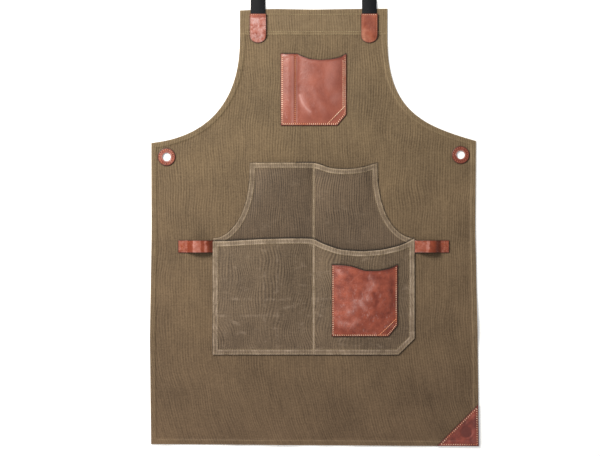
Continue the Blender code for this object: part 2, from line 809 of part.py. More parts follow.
def make_corner_patch():
    """The triangular leather patch on the lower right corner, over the turned hems and the canvas."""
    outline, _ = body_outline()
    corner = outline[1]
    left = (outline[0] - corner).normalized()
    up = (outline[2] - corner).normalized()
    on_hem = 2 * CANVAS + FIT_GAP
    on_canvas = CANVAS + FIT_GAP
    turn = HEM_TURN
    fallen = HEM_TURN + EDGE_RAMP
    end = PATCH_LEG - turn
    fallen_end = PATCH_LEG - fallen
    stations = (
        (PATCH_INSET, PATCH_INSET, on_hem),
        (PATCH_LEG, PATCH_INSET, on_hem),
        (PATCH_INSET, PATCH_LEG, on_hem),
        (turn, turn, on_hem),
        (end, turn, on_hem),
        (turn, end, on_hem),
        (fallen, fallen, on_canvas),
        (fallen_end, fallen, on_canvas),
        (fallen, fallen_end, on_canvas),
    )
    lower = []
    for along, rise, z in stations:
        plan = corner + left * along + up * rise
        lower.append(Vector((plan.x, plan.y, z)))
    upper = [p + Vector((0, 0, LEATHER)) for p in lower]
    faces = [(0, 3, 4, 1), (0, 2, 5, 3), (3, 6, 7, 4), (3, 5, 8, 6), (6, 8, 7)]
    return sheet_solid("corner_patch", lower, upper, faces, "leather")


def plan_centre(pieces):
    """The middle of the whole apron's plan, strap included."""
    points = [vertex.co + piece.location for piece in pieces for vertex in piece.data.vertices]
    xs = [p.x for p in points]
    ys = [p.y for p in points]
    return Vector(((min(xs) + max(xs)) / 2, (min(ys) + max(ys)) / 2, 0))


def clear_scene():
    """Removes every object that the file holds."""
    for old in list(bpy.data.objects):
        bpy.data.objects.remove(old)


clear_scene()
apron = bpy.data.objects.new("apron_frame", None)
bpy.context.scene.collection.objects.link(apron)
make_body()
make_pouches()
make_leather_pockets()
make_strap()
for side, word in ((-1, "left"), (1, "right")):
    make_tab(f"{word}_strap_tab", side)
    make_loop(f"{word}_side_loop", side)
for armhole, word in zip(ARMHOLES, ("left", "right")):
    make_eyelet(f"{word}_eyelet", armhole)
make_corner_patch()
apron.location = -plan_centre([piece for piece in apron.children if not piece.hide_render])
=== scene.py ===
# %% [markdown]
# # A waxed canvas work apron
#
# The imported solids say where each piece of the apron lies. This lesson dresses them: each piece of cloth and
# leather is made again as a fine sheet that can carry hems, creases and stitches, and then gets the finish of
# the real material. The apron lies flat, so nothing has to be simulated: a sheet is a net of small quads whose
# edge follows the solid's edge and whose height follows the solid's underside.

# %% Load the frame
import math
from collections import namedtuple

import bmesh
import bpy
import numpy as np
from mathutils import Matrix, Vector, noise
from mathutils.bvhtree import BVHTree


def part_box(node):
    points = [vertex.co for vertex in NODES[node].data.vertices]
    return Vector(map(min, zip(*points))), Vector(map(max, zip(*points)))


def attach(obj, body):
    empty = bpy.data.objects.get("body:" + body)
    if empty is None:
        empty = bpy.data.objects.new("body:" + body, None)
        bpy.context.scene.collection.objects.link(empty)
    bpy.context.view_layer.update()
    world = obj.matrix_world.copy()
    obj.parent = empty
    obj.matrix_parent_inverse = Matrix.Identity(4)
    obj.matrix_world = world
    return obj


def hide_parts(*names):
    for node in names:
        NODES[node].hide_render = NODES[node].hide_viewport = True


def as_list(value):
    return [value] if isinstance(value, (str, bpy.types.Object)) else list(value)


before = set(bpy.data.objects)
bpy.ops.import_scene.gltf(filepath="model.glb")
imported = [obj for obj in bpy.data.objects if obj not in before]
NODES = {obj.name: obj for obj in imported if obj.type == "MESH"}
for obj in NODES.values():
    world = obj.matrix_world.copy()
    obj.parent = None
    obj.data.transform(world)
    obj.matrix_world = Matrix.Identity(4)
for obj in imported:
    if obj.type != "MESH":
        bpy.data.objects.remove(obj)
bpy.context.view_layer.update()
MM = 0.001

# %% [markdown]
# ## Camera and light
#
# A product shot from straight above is taken with a long lens, high up, so that the edges of the thing show no
# lean. A large soft light stands to the upper left, so that relief is shaded gently towards the lower right and
# the cloth grows darker that way. A white board at the lower left throws a little light back, which shows the
# creases that the window leaves flat. A white room fills the shadows. The floor is white paper.

# %% Camera
def place_object(name, data):
    """A new object with this data, put in the scene."""
    thing = bpy.data.objects.new(name, data)
    bpy.context.collection.objects.link(thing)
    return thing


CAMERA_PLACE = (-0.0288, -0.1085, 3.0)
LENS = 90.0
SENSOR = 36.0

camera = place_object("camera", bpy.data.cameras.new("camera"))
camera.data.lens = LENS
camera.data.sensor_width = SENSOR
camera.data.clip_end = 50.0
camera.location = CAMERA_PLACE
bpy.context.scene.camera = camera
print("across the picture, in m:", round(CAMERA_PLACE[2] * SENSOR / LENS, 3))


# %% One way from a colour picker's value to a shader's
def linear(code):
    """Linear red, green, blue and alpha of an sRGB colour such as 8B7A5C."""
    values = [int(code[i : i + 2], 16) / 255 for i in (0, 2, 4)]
    return tuple(v / 12.92 if v <= 0.04045 else ((v + 0.055) / 1.055) ** 2.4 for v in values) + (1.0,)


# %% Lights
SoftLight = namedtuple("SoftLight", "name place aim size power")
SOFT_LIGHTS = (
    SoftLight("window", (-1.32, 1.22, 1.62), (-0.10, 0.20, 0.0), 1.0, 75.0),
    SoftLight("white_board", (-1.30, -1.50, 0.85), (0.0, -0.10, 0.0), 0.8, 12.0),
)
ROOM_LIGHT = 0.33

for light in SOFT_LIGHTS:
    lamp = place_object(light.name, bpy.data.lights.new(light.name, "AREA"))
    lamp.data.shape = "SQUARE"
    lamp.data.size = light.size
    lamp.data.energy = light.power
    lamp.data.color = linear("FFFBF4")[:3]
    lamp.location = light.place
    lamp.rotation_euler = (Vector(light.aim) - Vector(light.place)).to_track_quat("-Z", "Y").to_euler()

world = bpy.data.worlds.new("white_room")
world.use_nodes = True
world.node_tree.nodes["Background"].inputs["Color"].default_value = linear("F7F9FC")
world.node_tree.nodes["Background"].inputs["Strength"].default_value = ROOM_LIGHT
bpy.context.scene.world = world
bpy.context.scene.view_settings.view_transform = "Standard"
print("lights:", [light.name for light in SOFT_LIGHTS], "room", ROOM_LIGHT)


# %% Small helpers for objects
def only(piece):
    """Selects one object and nothing else."""
    bpy.ops.object.select_all(action="DESELECT")
    bpy.context.view_layer.objects.active = piece
    piece.select_set(True)


def finish_piece(piece, node, material):
    """Gives a piece its finish, hangs it on the root body, and hides the solid that it stands for, if any."""
    piece.data.materials.clear()
    piece.data.materials.append(material)
    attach(piece, "root")
    if node:
        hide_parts(node)


def apply_modifier(piece, kind, **settings):
    """Adds a modifier and applies it at once."""
    only(piece)
    modifier = piece.modifiers.new(kind.lower(), kind)
    for name, value in settings.items():
        setattr(modifier, name, value)
    bpy.ops.object.modifier_apply(modifier=modifier.name)


# %% [markdown]
# ## Materials
#
# Each finish starts from the real material: what it is, how its surface was made and what that gives the eye.
# A pattern's scale is worked out from a length in millimetres. One function adds a node with its settings and
# its links, and every material is built with it. Colours are laid over each other in layers, each with a share
# that says where it shows, and the heights of the patterns are added up for the relief.


# %% One function that adds a node
def add(tree, kind, out=0, sockets=None, **settings):
    """Adds a shader node, sets its fields, fills or links its sockets, and returns one of its outputs, if any."""
    node = tree.nodes.new("ShaderNode" + kind)
    for name, value in settings.items():
        setattr(node, name, value)
    for name, value in (sockets or {}).items():
        if isinstance(value, bpy.types.NodeSocket):
            tree.links.new(value, node.inputs[name])
        else:
            node.inputs[name].default_value = value
    return node.outputs[out] if len(node.outputs) else None


MIX_AMOUNT, MIX_FIRST, MIX_SECOND, MIX_RESULT = 0, 6, 7, 2
MADE_MATERIALS = []


def new_material(name):
    """An empty node material and its tree."""
    material = bpy.data.materials.new(name)
    material.use_nodes = True
    material.node_tree.nodes.clear()
    MADE_MATERIALS.append(name)
    return material, material.node_tree


def per_mm(length):
    """The scale of a noise or Voronoi texture whose cells are this many millimetres across."""
    return 1 / (length * MM)


def wave_scale(period):
    """The scale of a Wave texture whose bands repeat at this many millimetres."""
    return math.pi / (10 * period * MM)


# %% [markdown]
# ### Waxed canvas
#
# This is cotton duck, woven plain in thick yarn and then dressed with wax. Real yarns are about 0.6 mm apart,
# which is a third of a pixel here, so the camera sees them beat as soft wavy ribs about 5 mm apart. Ribs of that
# width are therefore drawn on purpose, wavier where the cloth isn't pulled flat, with coarse streaks and flecks
# of yarn among them. Wax darkens the cloth and makes it a little shiny in patches. Where cloth is folded or
# rubbed the wax cracks and goes pale, so hems are lighter, most of all along their two edges, and so are sewn
# seams. Beside a piece that is sewn on top a dark line of painted shade is laid on the cloth, strongest behind a
# pocket's mouth. Old packing folds show as faint pale lines, broken where the cloth has relaxed. The skirt is
# painted a little darker and redder towards its hem, as painted shade for part of the window's fall-off, and its
# ribs are weaker. Nothing holds it straight, so its ribs lean more and more towards its hem.
#
# The sheets below store what this needs at each point: "edge", the distance from the border, "hem", how far the
# point lies inside a folded hem, "seam", the distance from a seam, "lee", the distance from a piece on top, and
# "mouth", the distance from a pocket's mouth.


# %% Waxed canvas
SKIRT_TOP, SKIRT_HEM = 0.10, -0.55
# The skirt's tint is painted shade: it darkens and reddens the cloth towards the hem for part of the window's
# fall-off.
SKIRT_SHADE_TINT = (0.785, 0.72, 0.75, 1.0)
LEAN_TOP, LEAN_GROWTH = -0.28, 0.7
POUCH_FOOT, POUCH_SIDE = -0.36, -0.32
# The colour of the painted shade beside pieces on top and behind pockets' mouths.
PAINTED_SHADE = linear("1E1710")
# The sizes of the patterns in millimetres, from fine to broad.
FLECK, PICKS, YARN, SCUFF, BLOTCH, RIB_PATCH, WAX_PATCH = 2.6, 2.9, 3.4, 13, 16, 30, 95
WANDER, WANDER_SIZE = 3, 30


def waxed_canvas(
    name, deep, wear_and_painted_light, hem, rib, bend, bend_size, contrast, hem_share, scuffed, gloss, folds=(), low_hem=1.0
):
    """Waxed cotton duck. Lengths are in millimetres. folds are the places of old packing folds and the axis that
    they are measured on, and low_hem is how much of its paleness a hem keeps along the foot of a pouch."""
    material, tree = new_material(name)
    place = add(tree, "TexCoord", "Object")
    along = add(tree, "SeparateXYZ", "Y", {0: place})
    edge, turned, seam, lee, mouth = (
        add(tree, "Attribute", "Fac", attribute_name=stored) for stored in ("edge", "hem", "seam", "lee", "mouth")
    )

    shift = 0.0
    for size, reach in ((bend_size, bend), (WANDER_SIZE, WANDER)):
        drift = add(tree, "TexNoise", "Fac", {"Vector": place, "Scale": per_mm(size), "Detail": 1.0})
        drift = add(tree, "Math", 0, {0: drift, 1: 0.5}, operation="SUBTRACT")
        shift = add(tree, "Math", 0, {0: drift, 1: reach * MM, 2: shift}, operation="MULTIPLY_ADD")
    lean = add(tree, "Math", 0, {0: along, 1: -LEAN_TOP}, operation="ADD")
    lean = add(tree, "Math", 0, {0: lean, 1: 0.0}, operation="MINIMUM")
    lean = add(tree, "Math", 0, {0: lean, 1: lean}, operation="MULTIPLY")
    shift = add(tree, "Math", 0, {0: lean, 1: -LEAN_GROWTH, 2: shift}, operation="MULTIPLY_ADD")
    moved = add(tree, "CombineXYZ", 0, {"X": shift})
    moved = add(tree, "VectorMath", 0, {0: place, 1: moved}, operation="ADD")
    ribs, picks = (
        add(
            tree, "TexWave", "Fac",
            {"Vector": moved, "Scale": wave_scale(apart), "Distortion": bent, "Detail": 2.0, "Detail Scale": fine},
            wave_type="BANDS", bands_direction=axis,
        )
        for apart, bent, fine, axis in ((rib, 1.1, 0.30, "X"), (PICKS, 3.0, 0.6, "Y"))
    )
    lengthwise = add(tree, "Mapping", 0, {"Vector": moved, "Scale": (1.0, 0.07, 1.0)})
    yarn = add(tree, "TexNoise", "Fac", {"Vector": lengthwise, "Scale": per_mm(YARN), "Detail": 2.0})
    fleck = add(tree, "TexNoise", "Fac", {"Vector": place, "Scale": per_mm(FLECK), "Detail": 3.0, "Roughness": 0.65})
    wax = add(tree, "TexNoise", "Fac", {"Vector": place, "Scale": per_mm(WAX_PATCH), "Detail": 4.0, "Roughness": 0.55})
    patchy = add(tree, "TexNoise", "Fac", {"Vector": place, "Scale": per_mm(RIB_PATCH), "Detail": 2.0})
    blotch = add(tree, "TexNoise", "Fac", {"Vector": place, "Scale": per_mm(BLOTCH), "Detail": 4.0, "Roughness": 0.7})
    crosswise = add(tree, "Mapping", 0, {"Vector": place, "Scale": (0.45, 1.0, 1.0)})
    scuffs = add(
        tree, "TexNoise", "Fac", {"Vector": crosswise, "Scale": per_mm(SCUFF), "Detail": 5.0, "Roughness": 0.7}
    )

    # The weave: ribs, which come and go and are weaker on the skirt, then picks, streaks of yarn and flecks.
    skirt = add(tree, "MapRange", 0, {0: along, 1: SKIRT_TOP, 2: SKIRT_HEM, 3: 0.0, 4: 1.0})
    filled = add(tree, "Math", 0, {0: skirt, 1: -0.35, 2: 1.0}, operation="MULTIPLY_ADD")
    strength = add(tree, "MapRange", 0, {0: patchy, 1: 0.35, 2: 0.65, 3: 0.20 * contrast, 4: 1.30 * contrast})
    strength = add(tree, "Math", 0, {0: strength, 1: filled}, operation="MULTIPLY")
    weave = add(tree, "MapRange", 0, {0: ribs, 3: -1.0, 4: 1.0})
    weave = add(tree, "Math", 0, {0: weave, 1: strength}, operation="MULTIPLY")
    for pattern, low, high, reach in ((picks, 0.0, 1.0, 0.09), (yarn, 0.3, 0.7, 0.13), (fleck, 0.3, 0.7, 0.27)):
        finer = add(tree, "MapRange", 0, {0: pattern, 1: low, 2: high, 3: -reach, 4: reach})
        weave = add(tree, "Math", 0, {0: weave, 1: finer}, operation="ADD")
    waxed = add(tree, "MapRange", 0, {0: wax, 1: 0.3, 2: 0.7, 3: 0.30, 4: 0.70})
    tone = add(tree, "Math", 0, {0: weave, 1: waxed}, operation="ADD", use_clamp=True)

    # Where the wax is rubbed pale: a hem's two edges, a seam, old folds and scuffs.
    folded = add(tree, "MapRange", 0, {0: turned, 1: -0.7 * MM, 2: 0.7 * MM}, interpolation_type="SMOOTHSTEP")
    inner_fold = add(tree, "Math", 0, {0: turned, 1: 1.0 * MM}, operation="SUBTRACT")
    inner_fold = add(tree, "Math", 0, {0: inner_fold}, operation="ABSOLUTE")
    inner_fold = add(tree, "MapRange", 0, {0: inner_fold, 1: 0.2 * MM, 2: 2.0 * MM, 3: 0.8, 4: 0.0})
    outer_fold = add(tree, "MapRange", 0, {0: edge, 1: 0.6 * MM, 2: 3.2 * MM, 3: 1.0, 4: 0.0})
    rubbed_and_painted_light = add(tree, "Math", 0, {0: inner_fold, 1: outer_fold}, operation="MAXIMUM")
    rubbed_and_painted_light = add(tree, "Math", 0, {0: rubbed_and_painted_light, 1: 0.62, 2: 0.38}, operation="MULTIPLY_ADD")
    rubbed_and_painted_light = add(tree, "Math", 0, {0: rubbed_and_painted_light, 1: folded}, operation="MULTIPLY")
    drawn = add(tree, "Math", 0, {0: seam}, operation="ABSOLUTE")
    drawn = add(tree, "MapRange", 0, {0: drawn, 1: 0.9 * MM, 2: 2.4 * MM, 3: 0.85, 4: 0.0})
    rubbed_and_painted_light = add(tree, "Math", 0, {0: rubbed_and_painted_light, 1: drawn}, operation="MAXIMUM")
    uneven = add(tree, "MapRange", 0, {0: blotch, 1: 0.34, 2: 0.66, 3: 0.25, 4: 1.3})
    lined = add(tree, "MapRange", 0, {0: ribs, 3: 0.8, 4: 1.15})
    uneven = add(tree, "Math", 0, {0: uneven, 1: lined}, operation="MULTIPLY")
    kept = add(
        tree, "MapRange", 0, {0: along, 1: POUCH_FOOT, 2: POUCH_SIDE, 3: hem_share * low_hem, 4: hem_share}
    )
    for share in (uneven, kept):
        rubbed_and_painted_light = add(tree, "Math", 0, {0: rubbed_and_painted_light, 1: share}, operation="MULTIPLY")
    shown = add(tree, "MapRange", 0, {0: blotch, 1: 0.48, 2: 0.66, 3: 0.0, 4: 0.27})
    for fold, axis in folds:
        from_fold = add(tree, "SeparateXYZ", axis, {0: place})
        from_fold = add(tree, "Math", 0, {0: from_fold, 1: fold * MM}, operation="SUBTRACT")
        from_fold = add(tree, "Math", 0, {0: from_fold}, operation="ABSOLUTE")
        fold_line = add(tree, "MapRange", 0, {0: from_fold, 1: 0.6 * MM, 2: 4.0 * MM, 3: 1.0, 4: 0.0})
        fold_line = add(tree, "Math", 0, {0: fold_line, 1: shown}, operation="MULTIPLY")
        rubbed_and_painted_light = add(tree, "Math", 0, {0: rubbed_and_painted_light, 1: fold_line}, operation="MAXIMUM")
    scuffs = add(tree, "MapRange", 0, {0: scuffs, 1: 0.57, 2: 0.74, 3: 0.0, 4: scuffed})
    rubbed_and_painted_light = add(tree, "Math", 0, {0: rubbed_and_painted_light, 1: scuffs}, operation="ADD", use_clamp=True)

    # Painted shade beside a piece on top: a dark line beside it, and a stronger one behind a pocket's mouth.
    beside = add(tree, "MapRange", 0, {0: lee, 1: 0.4 * MM, 2: 2.6 * MM, 3: 0.42, 4: 0.0})
    under = add(tree, "MapRange", 0, {0: mouth, 1: 1.2 * MM, 2: 5.0 * MM, 3: 0.86, 4: 0.0})
    painted_shade = add(tree, "Math", 0, {0: beside, 1: under}, operation="MAXIMUM")

    colour = linear(deep)
    for share, over, way in (
        (tone, linear(wear_and_painted_light), "MIX"), (rubbed_and_painted_light, linear(hem), "MIX"), (skirt, SKIRT_SHADE_TINT, "MULTIPLY"),
        (painted_shade, PAINTED_SHADE, "MIX"),
    ):
        colour = add(
            tree, "Mix", MIX_RESULT, {MIX_AMOUNT: share, MIX_FIRST: colour, MIX_SECOND: over},
            data_type="RGBA", blend_type=way,
        )
    height = 0.0
    for pattern, depth in ((ribs, 0.16), (picks, 0.07), (yarn, 0.30), (fleck, 0.35), (folded, 0.12)):
        height = add(tree, "Math", 0, {0: pattern, 1: depth, 2: height}, operation="MULTIPLY_ADD")
    relief = add(tree, "Bump", 0, {"Height": height, "Distance": MM, "Strength": 1.0})
    dull = add(tree, "MapRange", 0, {0: wax, 1: 0.3, 2: 0.7, 3: gloss, 4: gloss + 0.16})
    shader = add(
        tree, "BsdfPrincipled", 0,
        {"Base Color": colour, "Roughness": dull, "Normal": relief, "Specular IOR Level": 0.32,
         "Sheen Weight": 0.12, "Sheen Roughness": 0.5},
    )
    add(tree, "OutputMaterial", sockets={"Surface": shader})
    return material


BODY_CANVAS = waxed_canvas(
    "waxed_cotton_duck", deep="54432D", wear_and_painted_light="836E51", hem="A08B6A",
    rib=5.0, bend=24.0, bend_size=120.0, contrast=0.24, hem_share=0.42, scuffed=0.12, gloss=0.60,
)
UPPER_CANVAS = waxed_canvas(
    "waxed_cotton_duck_dark", deep="45382A", wear_and_painted_light="78654F", hem="A8957D",
    rib=4.6, bend=26.0, bend_size=110.0, contrast=0.34, hem_share=0.85, scuffed=0.18, gloss=0.58,
)
POCKET_CANVAS = waxed_canvas(
    "waxed_cotton_duck_rubbed", deep="4C3E2E", wear_and_painted_light="857259", hem="B4A28B",
    rib=5.0, bend=52.0, bend_size=92.0, contrast=0.29, hem_share=1.0, scuffed=0.34, gloss=0.56,
    folds=((-250.0, "Y"), (-284.0, "Y"), (-100.0, "X"), (-74.0, "X")), low_hem=0.72,
)
print("materials:", MADE_MATERIALS)

# %% [markdown]
# ### Pull-up leather
#
# Vegetable tanned cowhide, dressed with oil and wax so that its colour pulls up lighter wherever it is bent or
# pressed. Its grain is pebbles of about 1 mm, drawn at 1.8 mm so that it shows. The surface is polished, with
# a thin wax coat that catches the window as pale pink patches, and its cut edges are burnished dark. The sheets
# store how far the colour is pulled up at each point, or below zero how far it stays deep. On the chest pocket's
# creases and pen slot, the tabs, the loops and the patch's rim this same value also carries painted highlights and
# painted shade. The parts are of one hide, but each is a little smoother, redder or darker than the next.


# %% Pull-up leather
BURNISHED = linear("4A1F17")
FINE_GRAIN, GRAIN, MARKS, HANDLED = 1.6, 1.8, 9, 48


def pull_up_leather(name, deep, clear, pulled, mottle, scuff, speck, gloss):
    """Polished cowhide. mottle is the size of its cloudy patches, in millimetres."""
    material, tree = new_material(name)
    place = add(tree, "TexCoord", "Object")
    edge, pull = (add(tree, "Attribute", "Fac", attribute_name=stored) for stored in ("edge", "pull"))
    slanted = add(
        tree, "Mapping", 0, {"Vector": place, "Rotation": (0.0, 0.0, math.radians(-38)), "Scale": (1.0, 0.6, 1.0)}
    )
    cloud = add(tree, "TexNoise", "Fac", {"Vector": place, "Scale": per_mm(mottle), "Detail": 5.0, "Roughness": 0.62})
    marks = add(tree, "TexNoise", "Fac", {"Vector": slanted, "Scale": per_mm(MARKS), "Detail": 8.0, "Roughness": 0.9})
    where = add(tree, "TexNoise", "Fac", {"Vector": place, "Scale": per_mm(HANDLED), "Detail": 2.0})
    pores = add(tree, "TexVoronoi", "Distance", {"Vector": place, "Scale": per_mm(GRAIN), "Randomness": 1.0})
    fine = add(tree, "TexNoise", "Fac", {"Vector": place, "Scale": per_mm(FINE_GRAIN), "Detail": 2.0})

    # The stored value lightens or deepens the colour: pull-up, and on some parts painted highlight and painted shade.
    tone = add(tree, "MapRange", 0, {0: cloud, 1: 0.32, 2: 0.68, 3: 0.0, 4: 1.0})
    tone = add(tree, "Math", 0, {0: pull, 1: 1.2, 2: tone}, operation="MULTIPLY_ADD", use_clamp=True)
    scuffed = add(tree, "MapRange", 0, {0: marks, 1: 0.55, 2: 0.66, 3: 0.0, 4: scuff})
    handled = add(tree, "MapRange", 0, {0: where, 1: 0.42, 2: 0.62, 3: 0.15, 4: 1.0})
    scuffed = add(tree, "Math", 0, {0: scuffed, 1: handled}, operation="MULTIPLY")
    grained = add(tree, "MapRange", 0, {0: marks, 1: 0.38, 2: 0.62, 3: 1 - speck, 4: 1 + 0.6 * speck})
    lifted = add(tree, "Math", 0, {0: pull, 1: 0.0}, operation="MAXIMUM")
    lifted = add(tree, "Math", 0, {0: lifted, 1: grained, 2: scuffed}, operation="MULTIPLY_ADD", use_clamp=True)
    cut = add(tree, "MapRange", 0, {0: edge, 1: 0.3 * MM, 2: 1.8 * MM, 3: 0.75, 4: 0.0})

    colour = linear(deep)
    for share, over in ((tone, linear(clear)), (lifted, linear(pulled)), (cut, BURNISHED)):
        colour = add(
            tree, "Mix", MIX_RESULT, {MIX_AMOUNT: share, MIX_FIRST: colour, MIX_SECOND: over}, data_type="RGBA"
        )
    height = 0.0
    for pattern, depth in ((pores, 0.16), (fine, 0.10), (cloud, 1.6), (marks, 0.45)):
        height = add(tree, "Math", 0, {0: pattern, 1: depth, 2: height}, operation="MULTIPLY_ADD")
    relief = add(tree, "Bump", 0, {"Height": height, "Distance": MM, "Strength": 0.8})
    dull = add(tree, "MapRange", 0, {0: marks, 1: 0.3, 2: 0.7, 3: gloss, 4: gloss + 0.2})
    shader = add(
        tree, "BsdfPrincipled", 0,
        {"Base Color": colour, "Roughness": dull, "Normal": relief, "Specular IOR Level": 0.55,
         "Coat Weight": 0.22, "Coat Roughness": 0.28},
    )
    add(tree, "OutputMaterial", sockets={"Surface": shader})
    return material


SMOOTH_LEATHER = pull_up_leather(
    "pull_up_leather", deep="884434", clear="A35A47", pulled="CFA6A2", mottle=38.0,
    scuff=0.30, speck=0.15, gloss=0.36,
)
MOTTLED_LEATHER = pull_up_leather(
    "pull_up_leather_mottled", deep="76301F", clear="A4513A", pulled="CBA5A0", mottle=18.0,
    scuff=0.62, speck=1.0, gloss=0.34,
)
ORANGE_LEATHER = pull_up_leather(
    "pull_up_leather_orange", deep="7E3924", clear="A2553A", pulled="CC9078", mottle=22.0,
    scuff=0.25, speck=0.20, gloss=0.36,
)
RUST_LEATHER = pull_up_leather(
    "pull_up_leather_rust", deep="7C2E0B", clear="9A4524", pulled="C38E84", mottle=16.0,
    scuff=0.25, speck=0.50, gloss=0.36,
)
DARK_LEATHER = pull_up_leather(
    "pull_up_leather_dark", deep="682F27", clear="904132", pulled="AE7466", mottle=18.0,
    scuff=0.30, speck=0.50, gloss=0.38,
)
print("materials:", MADE_MATERIALS)

# %% [markdown]
# ### Webbing and threads
#
# The neck strap is black nylon webbing in a twill weave, whose slanting ridges are about 2 mm apart. It shines a
# little along its yarns. The thread on the leather is thick and waxed, pale peach on the pockets and the patch
# and orange or tan where it is worn in. The thread on the canvas is thinner, of the colour of dry straw, or khaki
# along the body's hems.


# %% Webbing and threads
def nylon_webbing(name, dark, light):
    """Black woven webbing with slanting ridges."""
    material, tree = new_material(name)
    place = add(tree, "TexCoord", "Object")
    turned = add(tree, "Mapping", 0, {"Vector": place, "Rotation": (0.0, 0.0, math.radians(45))})
    ridges = add(
        tree, "TexWave", "Fac", {"Vector": turned, "Scale": wave_scale(2.1), "Distortion": 0.6, "Detail": 1.0},
        wave_type="BANDS", bands_direction="X",
    )
    yarn = add(tree, "TexNoise", "Fac", {"Vector": place, "Scale": per_mm(1.4), "Detail": 2.0})
    tone = add(tree, "Math", 0, {0: ridges, 1: yarn}, operation="MULTIPLY")
    colour = add(
        tree, "Mix", MIX_RESULT, {MIX_AMOUNT: tone, MIX_FIRST: linear(dark), MIX_SECOND: linear(light)},
        data_type="RGBA",
    )
    height = add(tree, "Math", 0, {0: yarn, 1: 0.25, 2: ridges}, operation="MULTIPLY_ADD")
    relief = add(tree, "Bump", 0, {"Height": height, "Distance": 0.3 * MM, "Strength": 1.0})
    dull = add(tree, "MapRange", 0, {0: yarn, 3: 0.42, 4: 0.62})
    shader = add(
        tree, "BsdfPrincipled", 0,
        {"Base Color": colour, "Roughness": dull, "Normal": relief, "Specular IOR Level": 0.16},
    )
    add(tree, "OutputMaterial", sockets={"Surface": shader})
    return material


def thread(name, dark, light):
    """Twisted waxed thread."""
    material, tree = new_material(name)
    place = add(tree, "TexCoord", "Object")
    twist = add(
        tree, "TexWave", "Fac", {"Vector": place, "Scale": wave_scale(1.0), "Distortion": 1.0},
        wave_type="BANDS", bands_direction="DIAGONAL",
    )
    age = add(tree, "TexNoise", "Fac", {"Vector": place, "Scale": per_mm(22), "Detail": 4.0})
    age = add(tree, "MapRange", 0, {0: age, 1: 0.32, 2: 0.62, 3: 0.0, 4: 0.8})
    tone = add(tree, "Math", 0, {0: twist, 1: 0.25, 2: age}, operation="MULTIPLY_ADD", use_clamp=True)
    colour = add(
        tree, "Mix", MIX_RESULT, {MIX_AMOUNT: tone, MIX_FIRST: linear(dark), MIX_SECOND: linear(light)},
        data_type="RGBA",
    )
    relief = add(tree, "Bump", 0, {"Height": twist, "Distance": 0.1 * MM, "Strength": 0.8})
    shader = add(tree, "BsdfPrincipled", 0, {"Base Color": colour, "Roughness": 0.55, "Normal": relief})
    add(tree, "OutputMaterial", sockets={"Surface": shader})
    return material


WEBBING = nylon_webbing("black_nylon_webbing", "08090C", "1B1D22")
LEATHER_THREAD = thread("waxed_thread_peach", "DB7F4B", "FFE0C2")
SEAM_THREAD = thread("waxed_thread_orange", "CB743C", "F3B588")
DARK_THREAD = thread("waxed_thread_tan", "8E4A31", "D0885F")
CANVAS_THREAD = thread("cotton_thread_straw", "8F7D5C", "B3A07B")
BODY_THREAD = thread("cotton_thread_khaki", "6F5E45", "96835F")
print("materials:", MADE_MATERIALS)

# %% [markdown]
# ## Sheets
#
# A cut piece of cloth or leather is made of a border and an inside. The border is the solid's edge seen from
# above, with its real corners kept sharp and its facets smoothed away. Rings of quads run along the border, so a
# hem, a seam or a bevelled edge can follow it all the way round, and a plain net fills the inside. Blender could
# also subdivide the solid itself, but its long triangles would crease along lines that no cloth has.

# %% A solid's edge seen from above
TOP_FACE = 0.35
CORNER_TURN = math.radians(30)


def plan_edge(node):
    """The solid's outer edge seen from above, anticlockwise."""
    bm = bmesh.new()
    bm.from_mesh(NODES[node].data)
    bmesh.ops.remove_doubles(bm, verts=bm.verts, dist=1e-6)
    bm.normal_update()
    top = {face for face in bm.faces if face.normal.z > TOP_FACE}
    near = {}
    for line in bm.edges:
        if sum(face in top for face in line.link_faces) == 1:
            for vert in line.verts:
                near.setdefault(vert, []).append(line.other_vert(vert))
    loops, seen = [], set()
    for start in near:
        loop, at = [], start
        while at is not None and at not in seen:
            seen.add(at)
            loop.append(at.co.xy)
            at = next((vert for vert in near[at] if vert not in seen), None)
        loops.append(np.array(loop))
    bm.free()
    edge = max(loops, key=lambda loop: np.ptp(loop, axis=0).sum() if len(loop) > 2 else 0)
    after = np.roll(edge, -1, axis=0)
    area = (edge[:, 0] * after[:, 1] - edge[:, 1] * after[:, 0]).sum()
    return edge if area > 0 else edge[::-1]


def lengths_along(line):
    """The distance of each point from the first, along the line."""
    return np.concatenate([[0], np.cumsum(np.linalg.norm(np.diff(line, axis=0), axis=1))])


def at_lengths(line, wanted):
    """The points of a line at these distances along it."""
    along = lengths_along(line)
    return np.stack([np.interp(wanted, along, line[:, k]) for k in range(line.shape[1])], axis=1)


print("points on the body's edge:", len(plan_edge("body_panel")))

# %% The border of a sheet
Border = namedtuple("Border", "points pins across up")


def turns(line):
    """How far a line turns at each of its inner points, in radians."""
    steps = np.diff(line, axis=0)
    before, after = steps[:-1], steps[1:]
    cross = before[:, 0] * after[:, 1] - before[:, 1] * after[:, 0]
    return np.abs(np.arctan2(cross, (before * after).sum(axis=1)))


def spaced(side, cells, rounding):
    """A side as equal steps, with a point on each real corner and the bends between them rounded."""
    along = lengths_along(side)
    sharp = [i + 1 for i, turn in enumerate(turns(side)) if turn > CORNER_TURN]
    marks = [0, *[along[i] for i in sharp], along[-1]]
    stops = [0, *[round(along[i] / along[-1] * cells) for i in sharp], cells]
    points = at_lengths(side, np.interp(np.arange(cells + 1), stops, marks))
    step = along[-1] / cells
    held = np.zeros(cells + 1, bool)
    held[stops] = True
    for _ in range(int(2 * (rounding / step) ** 2)):
        smooth = points.copy()
        smooth[1:-1] = (points[:-2] + 2 * points[1:-1] + points[2:]) / 4
        points = np.where(held[:, None], points, smooth)
    return points, stops


